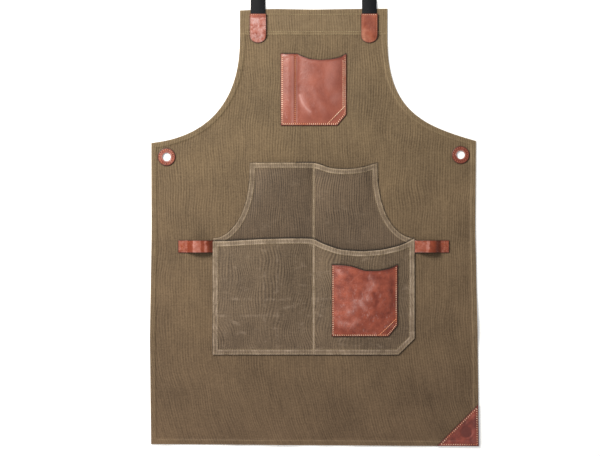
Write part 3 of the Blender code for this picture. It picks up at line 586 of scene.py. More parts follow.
def around(first, last, count):
    """The numbers of the points on a closed line of this many, from the first to the last, with both of them."""
    return np.arange(first, last + 1 if last > first else last + count + 1) % count


def make_border(edge, corners, across, up, rounding):
    """The border through four corners, given from the lower left one anticlockwise."""
    points, pins, start = [], [], 0
    for number, cells in enumerate((across, up, across, up)):
        index = around(corners[number], corners[(number + 1) % 4], len(edge))
        side, stops = spaced(edge[index], cells, rounding)
        points.append(side[:-1])
        pins += [start + stop for stop in stops[:-1]]
        start += cells
    return Border(np.vstack(points), sorted(set(pins)), across, up)


CORNER_LEAN = 10.0


def outer_corners(edge, lean=CORNER_LEAN):
    """The four corners of a plan edge. lean says how much more a point's height counts than its side place."""
    x, y = edge[:, 0], edge[:, 1]
    return [int(np.argmax(v)) for v in (-x - lean * y, x - lean * y, y + 0.5 * x, y - 0.5 * x)]


# %% A ring inside the border
def ring(border, depth):
    """The border moved inwards, with its corners mitred, point for point."""
    points, pins, count = border.points, border.pins, len(border.points)
    corner = {}
    for pin in pins:
        before, after = points[pin] - points[pin - 1], points[(pin + 1) % count] - points[pin]
        before, after = before / np.linalg.norm(before), after / np.linalg.norm(after)
        first, second = np.array([-before[1], before[0]]), np.array([-after[1], after[0]])
        middle = first + second
        corner[pin] = points[pin] + middle * depth / max(middle @ first, 0.2)
    moved = np.zeros_like(points)
    for first, last in zip(pins, pins[1:] + [pins[0] + count]):
        index = np.arange(first, last + 1) % count
        run = points[index]
        along = lengths_along(run)
        heading = np.gradient(run, axis=0)
        heading /= np.linalg.norm(heading, axis=1)[:, None]
        offset = run + depth * np.stack([-heading[:, 1], heading[:, 0]], axis=1)
        start, end = corner[first], corner[last % count]
        low = (start - run[0]) @ heading[0] + 1e-6
        high = along[-1] - (run[-1] - end) @ heading[-1] - 1e-6
        line = np.vstack([start, offset[(along > low) & (along < high)], end])
        moved[index] = at_lengths(line, along / along[-1] * lengths_along(line)[-1])
    return moved


# %% The net of a sheet
def net(border, depths):
    """Points and faces of a sheet: rings at these depths, from the border inwards, and a plain net inside them."""
    across, up, count = border.across, border.up, len(border.points)
    rings = [ring(border, depth) for depth in depths]
    inner = rings[-1]
    bottom, right = inner[: across + 1], inner[across : across + up + 1]
    top, left = inner[across + up : 2 * across + up + 1][::-1], np.vstack([inner[2 * across + up :], inner[:1]])[::-1]
    u, v = np.linspace(0, 1, across + 1)[None, :, None], np.linspace(0, 1, up + 1)[:, None, None]
    flat = (1 - u) * (1 - v) * bottom[0] + u * (1 - v) * bottom[-1] + (1 - u) * v * top[0] + u * v * top[-1]
    inside = (1 - v) * bottom + v * top + (1 - u) * left[:, None] + u * right[:, None] - flat
    points = [inside.reshape(-1, 2)]
    grid = np.arange((across + 1) * (up + 1)).reshape(up + 1, across + 1)
    faces = [np.stack([grid[:-1, :-1], grid[:-1, 1:], grid[1:, 1:], grid[1:, :-1]], axis=-1).reshape(-1, 4)]
    within = np.concatenate([grid[0, :-1], grid[:-1, -1], grid[-1, :0:-1], grid[:0:-1, 0]])
    made = grid.size
    for line in rings[-2::-1]:
        outside = made + np.arange(count)
        faces.append(np.stack([outside, np.roll(outside, -1), np.roll(within, -1), within], axis=-1))
        points.append(line)
        within, made = outside, made + count
    return np.vstack(points), np.vstack(faces)


def edge_distance(points, line):
    """How far each point is from a closed line."""
    nearest = np.full(len(points), 1e9)
    for start, end in zip(line, np.roll(line, -1, axis=0)):
        step = end - start
        share = np.clip((points - start) @ step / max(step @ step, 1e-18), 0, 1)
        nearest = np.minimum(nearest, np.linalg.norm(points - start - share[:, None] * step, axis=1))
    return nearest


def line_distance(points, line):
    """How far each point is from an open line."""
    return edge_distance(points, np.vstack([line, line[-2:0:-1]]))


# %% The height of a sheet
UNDER_FACE = -0.35
INWARD_STEP, INWARD_STEPS = 0.4, 12


def undersides(node):
    """A search tree of the faces that look down."""
    mesh = NODES[node].data
    corners = [tuple(v.co) for v in mesh.vertices]
    faces = [tuple(p.vertices) for p in mesh.polygons if p.normal.z < UNDER_FACE]
    return BVHTree.FromPolygons(corners, faces)


def heights_below(node, points):
    """The height of the solid's underside at each point. A point on the very edge is read a little further in."""
    tree, middle = undersides(node), points.mean(axis=0)
    heights = np.zeros(len(points))
    for i, point in enumerate(points):
        for step in range(INWARD_STEPS):
            inward = (middle - point) / max(np.linalg.norm(middle - point), 1e-9) * step * INWARD_STEP * MM
            hit = tree.ray_cast(Vector((*(point + inward), -1.0)), Vector((0, 0, 1)))[0]
            if hit:
                heights[i] = hit.z
                break
    return heights


def smoothed(values, faces, held, rounds):
    """Values averaged with their neighbours' in the net, except where they are held."""
    pairs = np.vstack([faces[:, [0, 1]], faces[:, [1, 2]], faces[:, [2, 3]], faces[:, [3, 0]]])
    near = np.bincount(pairs.ravel(), minlength=len(values))
    for _ in range(rounds):
        total = np.bincount(pairs[:, 0], values[pairs[:, 1]], len(values))
        total += np.bincount(pairs[:, 1], values[pairs[:, 0]], len(values))
        values = np.where(held, values, 0.5 * values + 0.5 * total / near)
    return values


# %% A whole sheet
Sheet = namedtuple("Sheet", "piece border points faces edge")


FLAT_EDGE = 0.8


def make_sheet(name, node, cell, depths, lean=CORNER_LEAN, corners=None, rounding=9.0, rounds=10):
    """A sheet on the place of a solid, still without thickness. Lengths are in millimetres."""
    edge = plan_edge(node)
    corners = corners(edge) if corners else outer_corners(edge, lean)
    low, high = edge.min(axis=0), edge.max(axis=0)
    across, up = (max(4, round(side / (cell * MM))) for side in high - low)
    border = make_border(edge, corners, across, up, rounding * MM)
    points, faces = net(border, [depth * MM for depth in depths])
    distance = edge_distance(points, border.points)
    heights = heights_below(node, points)
    sewn = (distance < 1e-5) & (heights < heights.min() + FLAT_EDGE * MM)
    heights = smoothed(heights, faces, sewn, rounds)
    mesh = bpy.data.meshes.new(name)
    mesh.from_pydata(np.column_stack([points, heights]).tolist(), [], faces.tolist())
    piece = place_object(name, mesh)
    print(name, "cells", across, "x", up, "faces", len(faces))
    return Sheet(piece, border, points, faces, distance)


def set_heights(sheet, heights):
    """Puts the points of a sheet at these heights."""
    sheet.piece.data.vertices.foreach_set("co", np.column_stack([sheet.points, heights]).ravel())
    sheet.piece.data.update()


def get_heights(sheet):
    """The heights of a sheet's points."""
    flat = np.empty(len(sheet.points) * 3)
    sheet.piece.data.vertices.foreach_get("co", flat)
    return flat[2::3]


def mark(sheet, name, values):
    """Stores a value for each point, for the materials to read."""
    layer = sheet.piece.data.attributes.new(name, "FLOAT", "POINT")
    layer.data.foreach_set("value", np.asarray(values, float))


def smooth_step(values, low, high):
    """0 below low, 1 above high, and a soft rise between them."""
    share = np.clip((values - low) / (high - low), 0, 1)
    return share * share * (3 - 2 * share)


def bell(distance, width):
    """1 at no distance, falling like a bell curve on both sides. The width is in millimetres."""
    return np.exp(-((distance / (width * MM)) ** 2))


def inside(points, line):
    """Which points lie within a closed line."""
    within = np.zeros(len(points), bool)
    for (x, y), (to_x, to_y) in zip(line, np.roll(line, -1, axis=0)):
        if y != to_y:
            crosses = (points[:, 1] > y) != (points[:, 1] > to_y)
            at = x + (points[:, 1] - y) / (to_y - y) * (to_x - x)
            within ^= crosses & (points[:, 0] < at)
    return within


# %% How far a sheet lies from the pieces on top, which places its painted shade
FAR = 60 * MM
# A thin edge or a tight mouth gets less painted shade, as if it were this much further away, in millimetres, and
# the right side of the upper pouch stands up and gets more painted shade.
THIN_EDGES = {"upper_pouch": 0.2, "lower_pouch": 2.2}
TIGHT_MOUTHS = {"upper_pouch": 2.4, "chest_pocket": 1.2, "phone_pocket": 0.9}
RAISED_SIDES = {"upper_pouch": 1.7}


def shelter(points, nodes, mouths=False):
    """The distance of each point from the nearest of the pieces on top, or only from their mouths, less than zero
    under one."""
    lee = np.full(len(points), FAR)
    for node in nodes:
        line = plan_edge(node)
        if mouths:
            right, left = outer_corners(line)[2:]
            distance = line_distance(points, line[around(right, left, len(line))])
            distance = distance + TIGHT_MOUTHS.get(node, 0.0) * MM
        else:
            distance = edge_distance(points, line) + THIN_EDGES.get(node, 0.0) * MM
            distance = distance - RAISED_SIDES.get(node, 0.0) * MM * (points[:, 0] > 0)
        lee = np.minimum(lee, np.where(inside(points, line), -distance, distance))
    return np.clip(lee, -FAR, FAR)


# %% Waves
Wave = namedtuple("Wave", "size seed height")


def ripple(points, wave, octaves=3):
    """Smooth noise that swings by about the wave's height around zero, and whose swells are as long as its size in
    millimetres."""
    scale, seed = 1 / (wave.size * MM), wave.seed
    return wave.height * np.array(
        [noise.fractal((x * scale, y * scale, seed), 0.8, 2.0, octaves) for x, y in points]
    )


# %% [markdown]
# ## Body
#
# The body is one cut of canvas whose edges are folded over and sewn down, and at the top of the bib the fold is
# a deep band that carries the straps. The cloth is 1 mm thick and its hems are double. Solidify gives both at
# once: its vertex group says how much of the full thickness each point gets. Cloth that lies on a table is
# never quite flat, so its free parts get low waves, and its free edges higher ones, while under pockets and
# washers it stays down.

# %% Body
CANVAS = 1.0
LEATHER = 1.8
HEM = 9.5
HEM_RAMP = 1.5
TOP_BAND = 49.5
HEM_RINGS = (0.0, 0.9, 3.5, 6.5, 9.2, 10.2, 11.2, 14.5)
WAVES = (Wave(170, 3.1, 1.1), Wave(60, 8.7, 0.35))
EDGE_WAVE = Wave(90, 5.3, 3.2)
PRESSED_MARGIN = 45
LOOSE_MARGIN = 60

body = make_sheet("body_canvas", "body_panel", 4.4, HEM_RINGS)


def free_of_pieces(points, margin):
    """1 where no other piece lies on the body, falling to 0 within a margin of one."""
    free = np.ones(len(points))
    for node in NODES:
        if node == "body_panel":
            continue
        low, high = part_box(node)
        gap = np.maximum(np.array(low.xy) - points, points - np.array(high.xy)).max(axis=1)
        free = np.minimum(free, smooth_step(gap, 2 * MM, margin * MM))
    return free


free = free_of_pieces(body.points, PRESSED_MARGIN)
loose = smooth_step(body.edge, 0, LOOSE_MARGIN * MM)
waves = sum(ripple(body.points, wave) for wave in WAVES)
edge_waves = np.clip(ripple(body.points, EDGE_WAVE, octaves=2), 0, EDGE_WAVE.height)
lift = (np.clip(waves + 0.5, 0, None) * loose + edge_waves * (1 - loose)) * free
set_heights(body, smoothed(lift * MM, body.faces, np.zeros(len(lift), bool), 6))
print("the body's highest wave, in mm:", round(float(lift.max()), 2))

# %% The body's holes and thickness
CANVAS_HOLE = 9.0
RIM_REACH = 2.2


def washer_centre(node):
    """The middle of a washer, seen from above."""
    low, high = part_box(node)
    return np.array((low.xy + high.xy) / 2)


def open_hole(sheet, centre, radius):
    """Cuts a round hole: the faces inside go, and the points left at the rim move out to the circle."""
    bm = bmesh.new()
    bm.from_mesh(sheet.piece.data)
    gone = [f for f in bm.faces if (Vector(f.calc_center_median().xy) - Vector(centre)).length < radius]
    bmesh.ops.delete(bm, geom=gone, context="FACES")
    rim = [v for v in bm.verts if v.is_boundary and (v.co.xy - Vector(centre)).length < RIM_REACH * radius]
    for vert in rim:
        out = vert.co.xy - Vector(centre)
        vert.co.xy = Vector(centre) + out.normalized() * radius
    bm.to_mesh(sheet.piece.data)
    bm.free()
    return len(rim)


def thicken(sheet, thickness, doubled=None):
    """Gives a sheet its thickness, upwards. doubled names the stored value that is 1 where cloth lies double."""
    group = sheet.piece.vertex_groups.new(name="layers")
    share = np.full(len(sheet.piece.data.vertices), 0.5)
    if doubled is not None:
        values = np.empty(len(share))
        sheet.piece.data.attributes[doubled].data.foreach_get("value", values)
        share = 0.5 + 0.5 * values
    for i, weight in enumerate(share):
        group.add([i], float(weight), "REPLACE")
    apply_modifier(
        sheet.piece, "SOLIDIFY", thickness=2 * thickness * MM, offset=1.0, vertex_group="layers",
        use_even_offset=False,
    )
    sheet.piece.vertex_groups.clear()


def round_edges(piece, width, segments=2):
    """Takes the sharpness off the cut edges of a sheet."""
    apply_modifier(
        piece, "BEVEL", width=width * MM, segments=segments, limit_method="ANGLE", angle_limit=math.radians(50)
    )
    only(piece)
    bpy.ops.object.shade_smooth_by_angle(angle=math.radians(60))


top_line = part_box("body_panel")[1].y
band = body.points[:, 1] - (top_line - TOP_BAND * MM)
hem_depth = np.maximum(HEM * MM + HEM_RAMP * MM / 2 - body.edge, band)
mark(body, "edge", body.edge)
mark(body, "hem", hem_depth)
mark(body, "double", smooth_step(hem_depth, -HEM_RAMP / 2 * MM, HEM_RAMP / 2 * MM))
mark(body, "seam", band)
# lee and mouth place the painted shade beside the pieces on top and behind the pockets' mouths.
mark(body, "lee", shelter(body.points, [node for node in NODES if node not in ("body_panel", "neck_strap")]))
mark(body, "mouth", shelter(body.points, ["chest_pocket", "upper_pouch"], mouths=True))
for node in ("left_eyelet", "right_eyelet"):
    print(node, "rim points", open_hole(body, washer_centre(node), CANVAS_HOLE * MM))
thicken(body, CANVAS, "double")
round_edges(body.piece, 0.35)
finish_piece(body.piece, "body_panel", BODY_CANVAS)
print("the body's faces:", len(body.piece.data.polygons))

# %% [markdown]
# ## Pouches
#
# Two wide canvas pouches are sewn on the body, each down its middle as well, so each is two pockets. Their
# mouths are hemmed and stand open a little. The upper pouch runs down behind the lower one. Each is made as the
# body is, and its fullness comes from the solid's underside.

# %% Pouches
POUCH_HEM = 9.6
POUCH_HEM_RAMP = 1.4
POUCH_HEM_SHARE = 0.35
POUCH_RINGS = (0.0, 0.9, 3.0, 5.6, 8.0, 9.2, 10.4, 13.5)


def make_pouch(name, node, cell, fullness, on_top, material):
    """A hemmed canvas pouch, sewn at its sides, its bottom and its middle, with another pocket on top."""
    pouch = make_sheet(name, node, cell, POUCH_RINGS, rounding=6.0)
    slack = smooth_step(pouch.edge, 4 * MM, 45 * MM)
    set_heights(pouch, get_heights(pouch) + ripple(pouch.points, fullness) * MM * slack)
    depth = POUCH_HEM * MM - pouch.edge
    mark(pouch, "edge", pouch.edge)
    mark(pouch, "hem", depth)
    ramp = POUCH_HEM_RAMP / 2 * MM
    mark(pouch, "double", smooth_step(depth, -ramp, ramp) * POUCH_HEM_SHARE)
    low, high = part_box(node)
    mark(pouch, "seam", pouch.points[:, 0] - (low.x + high.x) / 2)
    # lee and mouth place the painted shade beside the piece on top and behind its mouth.
    mark(pouch, "lee", shelter(pouch.points, [on_top]))
    mark(pouch, "mouth", shelter(pouch.points, [on_top], mouths=True))
    thicken(pouch, CANVAS, "double")
    round_edges(pouch.piece, 0.3)
    finish_piece(pouch.piece, node, material)
    return pouch


upper = make_pouch("upper_pouch_canvas", "upper_pouch", 4.0, Wave(55, 21.5, 0.45), "lower_pouch", UPPER_CANVAS)
lower = make_pouch("lower_pouch_canvas", "lower_pouch", 4.0, Wave(55, 12.5, 0.45), "phone_pocket", POCKET_CANVAS)

# %% [markdown]
# ## Leather pockets
#
# Each is one piece of 1.8 mm cowhide with a scooped mouth and one corner cut off. Leather keeps the creases it
# was given: low ridges and hollows with a soft section, so each is a curved line with a width and a height, and
# the surface rises or sinks by a bell curve of the distance from it. Where the leather is bent outwards its
# colour pulls up lighter, and the same curve also paints highlights along ridges and shade along hollows, which
# the low relief doesn't catch from the window, so it is stored for the material. The chest pocket's left strip
# is a pen slot, and its seam lies in a groove painted dark as shade, between two slopes with painted highlights.

# %% Leather pockets
LEATHER_RINGS = (0.0, 0.7, 1.6, 2.7, 3.6, 5.2, 8.0)
Groove = namedtuple("Groove", "place width depth")
POCKET_GROOVE = Groove(2.9, 1.2, 0.22)
PEN_SLOT = 28.6
PEN_STRIP = 20
Mark = namedtuple("Mark", "place width pull")
# The pen slot's marks are placed from its seam: painted highlights on the slopes beside it and painted shade in
# it. The mark along a pocket's edge is placed from the edge.
PEN_MARKS = (Mark(2.6, 1.5, 0.26), Mark(-4.5, 4.5, 0.23), Mark(-1.4, 1.3, -0.80))
EDGE_MARK = Mark(2.4, 1.4, -0.30)
Crease = namedtuple("Crease", "line width height pull")
# On the chest pocket the first crease is a thin painted highlight, and the rest add painted highlight and shade.
CHEST_CREASES = (
    Crease([(0.29, 0.42), (0.31, 0.36), (0.345, 0.29), (0.39, 0.235), (0.45, 0.19)], 2.3, 0.30, 0.42),
    Crease([(0.32, 0.38), (0.36, 0.27), (0.44, 0.19)], 6.0, 0.30, 0.16),
    Crease([(0.40, 0.92), (0.44, 0.70), (0.49, 0.48), (0.63, 0.23)], 6.0, 0.20, 0.07),
    Crease([(0.33, 0.66), (0.40, 0.44), (0.56, 0.13)], 5.0, -0.22, -0.16),
    Crease([(0.58, 0.80), (0.60, 0.52), (0.74, 0.24)], 8.0, -0.22, -0.18),
    Crease([(0.80, 0.90), (0.72, 0.56)], 14.0, 0.20, 0.12),
    Crease([(0.86, 0.50), (0.84, 0.24)], 10.0, -0.14, 0.0),
    Crease([(0.46, 0.86), (0.38, 0.66)], 15.0, 0.0, -0.34),
    Crease([(0.66, 0.24), (0.84, 0.40)], 11.0, 0.0, 0.12),
)
PHONE_CREASES = (
    Crease([(0.24, 0.34), (0.38, 0.48), (0.48, 0.46), (0.60, 0.72)], 9.0, 0.22, 0.20),
    Crease([(0.42, 0.50), (0.50, 0.40)], 4.5, 0.15, 0.38),
    Crease([(0.58, 0.84), (0.60, 0.72)], 4.0, 0.15, 0.30),
    Crease([(0.64, 0.60), (0.70, 0.50), (0.66, 0.42)], 4.5, -0.30, -0.45),
    Crease([(0.22, 0.80), (0.26, 0.72)], 4.5, -0.22, -0.35),
    Crease([(0.12, 0.20), (0.28, 0.15), (0.38, 0.22)], 6.0, 0.20, 0.24),
    Crease([(0.08, 0.93), (0.14, 0.88)], 4.0, 0.15, 0.22),
)


def crease_shape(points, low, size, creases):
    """The height of the creases at each point, in metres, and how far they lighten or deepen the colour, as pulled-up
    colour and as painted highlight and painted shade.
    """
    ridge, hollow, paler, deeper = (np.zeros(len(points)) for _ in range(4))
    for crease in creases:
        line = low + size * np.array(crease.line)
        line = at_lengths(line, np.linspace(0, lengths_along(line)[-1], 24))
        for _ in range(12):
            line[1:-1] = (line[:-2] + 2 * line[1:-1] + line[2:]) / 4
        curve = bell(line_distance(points, line), crease.width)
        ridge, hollow = np.maximum(ridge, crease.height * MM * curve), np.minimum(hollow, crease.height * MM * curve)
        paler, deeper = np.maximum(paler, crease.pull * curve), np.minimum(deeper, crease.pull * curve)
    return ridge + hollow, paler + deeper


def make_leather_pocket(name, node, creases, material, bumps, rounds, pen_slot=False):
    """A leather pocket with a stitched edge that is drawn down a little by its thread."""
    pocket = make_sheet(name, node, 2.1, LEATHER_RINGS, rounding=3.0, rounds=rounds)
    low, high = pocket.points.min(axis=0), pocket.points.max(axis=0)
    slack = smooth_step(pocket.edge, 4 * MM, 18 * MM)
    shape, wear_and_painted_light = crease_shape(pocket.points, low, high - low, creases)
    bumpy = ripple(pocket.points, bumps) * MM * slack
    drawn = POCKET_GROOVE.depth * MM * bell(pocket.edge - POCKET_GROOVE.place * MM, POCKET_GROOVE.width)
    set_heights(pocket, get_heights(pocket) + shape * slack + bumpy - drawn)
    if pen_slot:
        from_left = pocket.points[:, 0] - low[0]
        for pen_mark in PEN_MARKS:
            wear_and_painted_light += pen_mark.pull * bell(from_left - (PEN_SLOT + pen_mark.place) * MM, pen_mark.width)
        wear_and_painted_light -= 0.18 * smooth_step(PEN_STRIP * MM - from_left, 0, 9 * MM)
    wear_and_painted_light += EDGE_MARK.pull * bell(pocket.edge - EDGE_MARK.place * MM, EDGE_MARK.width)
    mark(pocket, "edge", pocket.edge)
    mark(pocket, "pull", wear_and_painted_light)
    thicken(pocket, LEATHER)
    round_edges(pocket.piece, 0.5)
    finish_piece(pocket.piece, node, material)
    return pocket


chest = make_leather_pocket(
    "chest_pocket_leather", "chest_pocket", CHEST_CREASES, SMOOTH_LEATHER, Wave(24, 31.5, 0.2), rounds=48,
    pen_slot=True,
)
phone = make_leather_pocket(
    "phone_pocket_leather", "phone_pocket", PHONE_CREASES, MOTTLED_LEATHER, Wave(24, 44.5, 0.35), rounds=14
)

# %% [markdown]
# ## Small leather parts
#
# The strap tabs, the side loops and the corner patch are cut from the same hide. The tabs have one round end. The
# left tab is painted pale below its top strip, as a painted highlight, and the right one has a painted highlight
# towards its lower left and painted shade towards its right. The loops' colour is pulled up in bands where they
# bend, which also paints highlights on their arches and shade where they turn down, so each has a list of bands
# from its outer end. The patch is a triangle, and a net wants four corners, so the middle of its long side serves
# as the fourth. A round hollow is pressed into it, whose floor stays dark and whose rim gets a painted highlight
# on the side of its wall that faces the window.


# %% Small leather parts
SMALL_RINGS = (0.0, 0.6, 1.5, 2.6, 3.4, 4.6)
SMALL_GROOVE = Groove(2.6, 1.0, 0.15)


def triangle_corners(edge):
    """The patch's corners, from the lower left one: those of its two legs, and the middle of its long side."""
    x, y = edge[:, 0], edge[:, 1]
    left, square, top = int(np.argmin(x)), int(np.argmax(x - y)), int(np.argmax(y))
    order = around(top, left, len(edge))
    along = lengths_along(edge[order])
    middle = int(np.argmin(np.abs(along - along[-1] / 2)))
    return [left, square, top, int(order[middle])]


def make_small_leather(name, node, cell, bumps, lean=CORNER_LEAN, corners=None, rings=SMALL_RINGS):
    """A small flat or arched leather part."""
    part = make_sheet(name, node, cell, rings, lean, corners, rounding=2.6, rounds=6)
    slack = smooth_step(part.edge, 1.5 * MM, 6 * MM)
    bumpy = ripple(part.points, bumps) * MM * slack
    drawn = SMALL_GROOVE.depth * MM * bell(part.edge - SMALL_GROOVE.place * MM, SMALL_GROOVE.width)
    set_heights(part, get_heights(part) + bumpy - drawn)
    mark(part, "edge", part.edge)
    return part


def close_small_leather(part, node, material):
    """Gives a small leather part its thickness, round edges and finish."""
    thicken(part, LEATHER)
    round_edges(part.piece, 0.45)
    finish_piece(part.piece, node, material)


left_tab = make_small_leather("left_tab_leather", "left_strap_tab", 1.7, Wave(14, 51.5, 0.35), lean=1.0)
right_tab = make_small_leather("right_tab_leather", "right_strap_tab", 1.7, Wave(14, 55.5, 0.15), lean=1.0)
left_loop = make_small_leather("left_loop_leather", "left_side_loop", 1.7, Wave(14, 61.5, 0.12))
right_loop = make_small_leather("right_loop_leather", "right_side_loop", 1.7, Wave(14, 65.5, 0.12))

# %% Painted highlights and shade on the tabs, and the loops' bands
TOP_STRIP, STRIP_RAMP = 7.0, 3.0
LEFT_TAB_CLOUDS, RIGHT_TAB_CLOUDS = Wave(6.0, 53.5, 0.60), Wave(12, 57.5, 0.25)
# The bands on the loops: each place from the outer end, in millimetres, and how far the colour is pulled up
# there. Pale bands are also painted highlights on the arches, and dark ones painted shade where they turn down.
LEFT_BANDS = (
    (0, 0.10), (19, 0.12), (22, -0.34), (30, -0.34), (32, 0.46), (36, 0.26), (45, 0.30), (47, -0.32), (51, -0.32),
    (54, 0.44), (57, 0.30), (59, -0.12), (70, -0.25),
)
RIGHT_BANDS = (
    (0, 0.05), (17, 0.10), (19, -0.60), (24, -0.60), (26, -0.15), (39, -0.20), (41, 0.35), (45, 0.40), (48, -0.02),
    (72, 0.06),
)

# The left tab is painted pale below its top strip, in mottled clouds, as a painted highlight.
from_top = left_tab.points[:, 1].max() - left_tab.points[:, 1]
rubbed_and_painted_light = 0.43 + ripple(left_tab.points, LEFT_TAB_CLOUDS)
rubbed_and_painted_light *= smooth_step(from_top, TOP_STRIP * MM, (TOP_STRIP + STRIP_RAMP) * MM)
mark(left_tab, "pull", np.clip(rubbed_and_painted_light, 0.0, 0.95))
# The right tab gets a painted highlight towards its lower left and painted shade towards its right.
from_top = right_tab.points[:, 1].max() - right_tab.points[:, 1]
from_left = (right_tab.points[:, 0] - right_tab.points[:, 0].min()) / np.ptp(right_tab.points[:, 0])
rubbed_and_painted_light = 0.62 * smooth_step(from_top, 18 * MM, 52 * MM) * (1 - from_left) - 0.30 * from_left
mark(right_tab, "pull", rubbed_and_painted_light - 0.06 + ripple(right_tab.points, RIGHT_TAB_CLOUDS))
for loop, seed, bands, outer in (
    (left_loop, 63.5, LEFT_BANDS, left_loop.points[:, 0].min()),
    (right_loop, 67.5, RIGHT_BANDS, right_loop.points[:, 0].max()),
):
    from_end = np.abs(loop.points[:, 0] - outer) / MM + ripple(loop.points, Wave(14, seed, 1.6))
    streaks = np.interp(from_end, *zip(*bands))
    mark(loop, "pull", np.clip(streaks + ripple(loop.points, Wave(4.5, seed + 2, 0.22)), -0.8, 0.8))
for part, node, material in (
    (left_tab, "left_strap_tab", MOTTLED_LEATHER),
    (right_tab, "right_strap_tab", ORANGE_LEATHER),
    (left_loop, "left_side_loop", RUST_LEATHER),
    (right_loop, "right_side_loop", RUST_LEATHER),
):
    close_small_leather(part, node, material)

# %% Corner patch
PATCH_RINGS = (0.0, 0.6, 1.5, 2.8, 4.2)
PATCH_CLOUDS = Wave(13, 75.5, 0.35)
PATCH_DISC = 13.5
PATCH_DISC_PLACE = np.array([0.3042, -0.5168])
DISC_DEPTH, DISC_SLOPE = 0.45, 1.8
# The direction, from the hollow's middle, of the side of its wall that faces the window.
LIT_SIDE = np.array([0.7, -0.7])

patch = make_small_leather(
    "corner_patch_leather", "corner_patch", 1.8, Wave(14, 71.5, 0.1), corners=triangle_corners, rings=PATCH_RINGS
)
from_disc = np.linalg.norm(patch.points - PATCH_DISC_PLACE, axis=1)
pressed = -DISC_DEPTH * MM * smooth_step(-from_disc, -PATCH_DISC * MM, -(PATCH_DISC - DISC_SLOPE) * MM)
pressed += 0.12 * MM * bell(from_disc - (PATCH_DISC + 1) * MM, 1.2)
set_heights(patch, get_heights(patch) + pressed)
in_disc = smooth_step(-from_disc, -PATCH_DISC * MM, -(PATCH_DISC - 2.0) * MM)
disc_rim = bell(from_disc - (PATCH_DISC - 2.2) * MM, 1.5)
lit_rim = disc_rim * np.clip((patch.points - PATCH_DISC_PLACE) @ LIT_SIDE / (PATCH_DISC * MM), 0, 1)
# lit_rim is a painted highlight on the rim of the hollow where its wall faces the window.
wear_and_painted_light = ripple(patch.points, PATCH_CLOUDS) - 0.02 - 0.42 * in_disc + 0.12 * disc_rim + 0.8 * lit_rim
mark(patch, "pull", wear_and_painted_light)
close_small_leather(patch, "corner_patch", DARK_LEATHER)
print("faces of the patch:", len(patch.piece.data.polygons))

# %% [markdown]
# ## Washers
#
# A punched leather ring is sewn round each waist tie hole. It starts as a circle, whose edge is extruded inwards
# ring by ring, with each ring scaled and lifted, so its section is a low dome. Solidify makes it solid
# downwards, and Bevel rounds its two cut edges. A tie has rubbed it pale round the hole, and its outer edge is
# burnished.

# %% Washers
WASHER_SIDES = 56
WASHER_THICKNESS = 1.5
WASHER_RUBBED = 10.8
WASHER_EDGE = 16.0
WASHER_CLOUDS = Wave(9, 81.5, 0.5)
WasherRing = namedtuple("WasherRing", "radius rise")
WASHER_RINGS = (
    WasherRing(17.5, -0.25), WasherRing(16.6, 0.0), WasherRing(15.2, 0.0), WasherRing(14.3, -0.15),
    WasherRing(13.4, 0.02), WasherRing(11.5, 0.05), WasherRing(9.6, 0.0), WasherRing(8.6, -0.1),
    WasherRing(8.0, -0.3),
)


def make_washer(name, node, wear_and_painted_light):
    """A low domed leather ring on the place of its solid. worn says how far its colour is pulled up."""
    low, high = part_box(node)
    centre = Vector(((low.x + high.x) / 2, (low.y + high.y) / 2, high.z))
    bpy.ops.object.select_all(action="DESELECT")
    bpy.ops.mesh.primitive_circle_add(vertices=WASHER_SIDES, radius=WASHER_RINGS[0].radius * MM, location=centre)
    piece = bpy.context.object
    piece.name = name
    bpy.ops.object.mode_set(mode="EDIT")
    bpy.ops.mesh.select_all(action="SELECT")
    bpy.ops.transform.translate(value=(0, 0, WASHER_RINGS[0].rise * MM))
    for before, after in zip(WASHER_RINGS, WASHER_RINGS[1:]):
        bpy.ops.mesh.extrude_region_move()
        share = after.radius / before.radius
        bpy.ops.transform.resize(value=(share, share, 1), center_override=centre)
        bpy.ops.transform.translate(value=(0, 0, (after.rise - before.rise) * MM))
    bpy.ops.mesh.select_all(action="SELECT")
    bpy.ops.mesh.normals_make_consistent(inside=False)
    bpy.ops.object.mode_set(mode="OBJECT")
    bpy.ops.object.transform_apply(location=True, rotation=True, scale=True)
    if sum(face.normal.z for face in piece.data.polygons) < 0:
        piece.data.flip_normals()
    radius = np.array([(v.co - centre).xy.length for v in piece.data.vertices])
    rubbed_and_painted_light = np.where(radius < WASHER_RUBBED * MM, wear_and_painted_light + 0.85, wear_and_painted_light)
    rubbed_and_painted_light = rubbed_and_painted_light + ripple(np.array([v.co.xy for v in piece.data.vertices]), WASHER_CLOUDS)
    rubbed_and_painted_light = rubbed_and_painted_light - 0.8 * (radius > WASHER_EDGE * MM)
    for stored, values in (("edge", np.minimum(radius.max() - radius, radius - radius.min())), ("pull", rubbed_and_painted_light)):
        piece.data.attributes.new(stored, "FLOAT", "POINT").data.foreach_set("value", values)
    apply_modifier(piece, "SOLIDIFY", thickness=WASHER_THICKNESS * MM, offset=-1.0)
    round_edges(piece, 0.3)
    finish_piece(piece, node, MOTTLED_LEATHER)
    print(name, "faces", len(piece.data.polygons))
    return piece


left_washer = make_washer("left_washer_leather", "left_eyelet", -0.10)
right_washer = make_washer("right_washer_leather", "right_eyelet", -0.50)

# %% [markdown]
# ## Neck strap
#
# The strap is a flat band of webbing that is folded at its two upper corners, and the solid already has that
# shape. A copy of it is merged, its triangles are joined to quads, and its long edges are rounded.


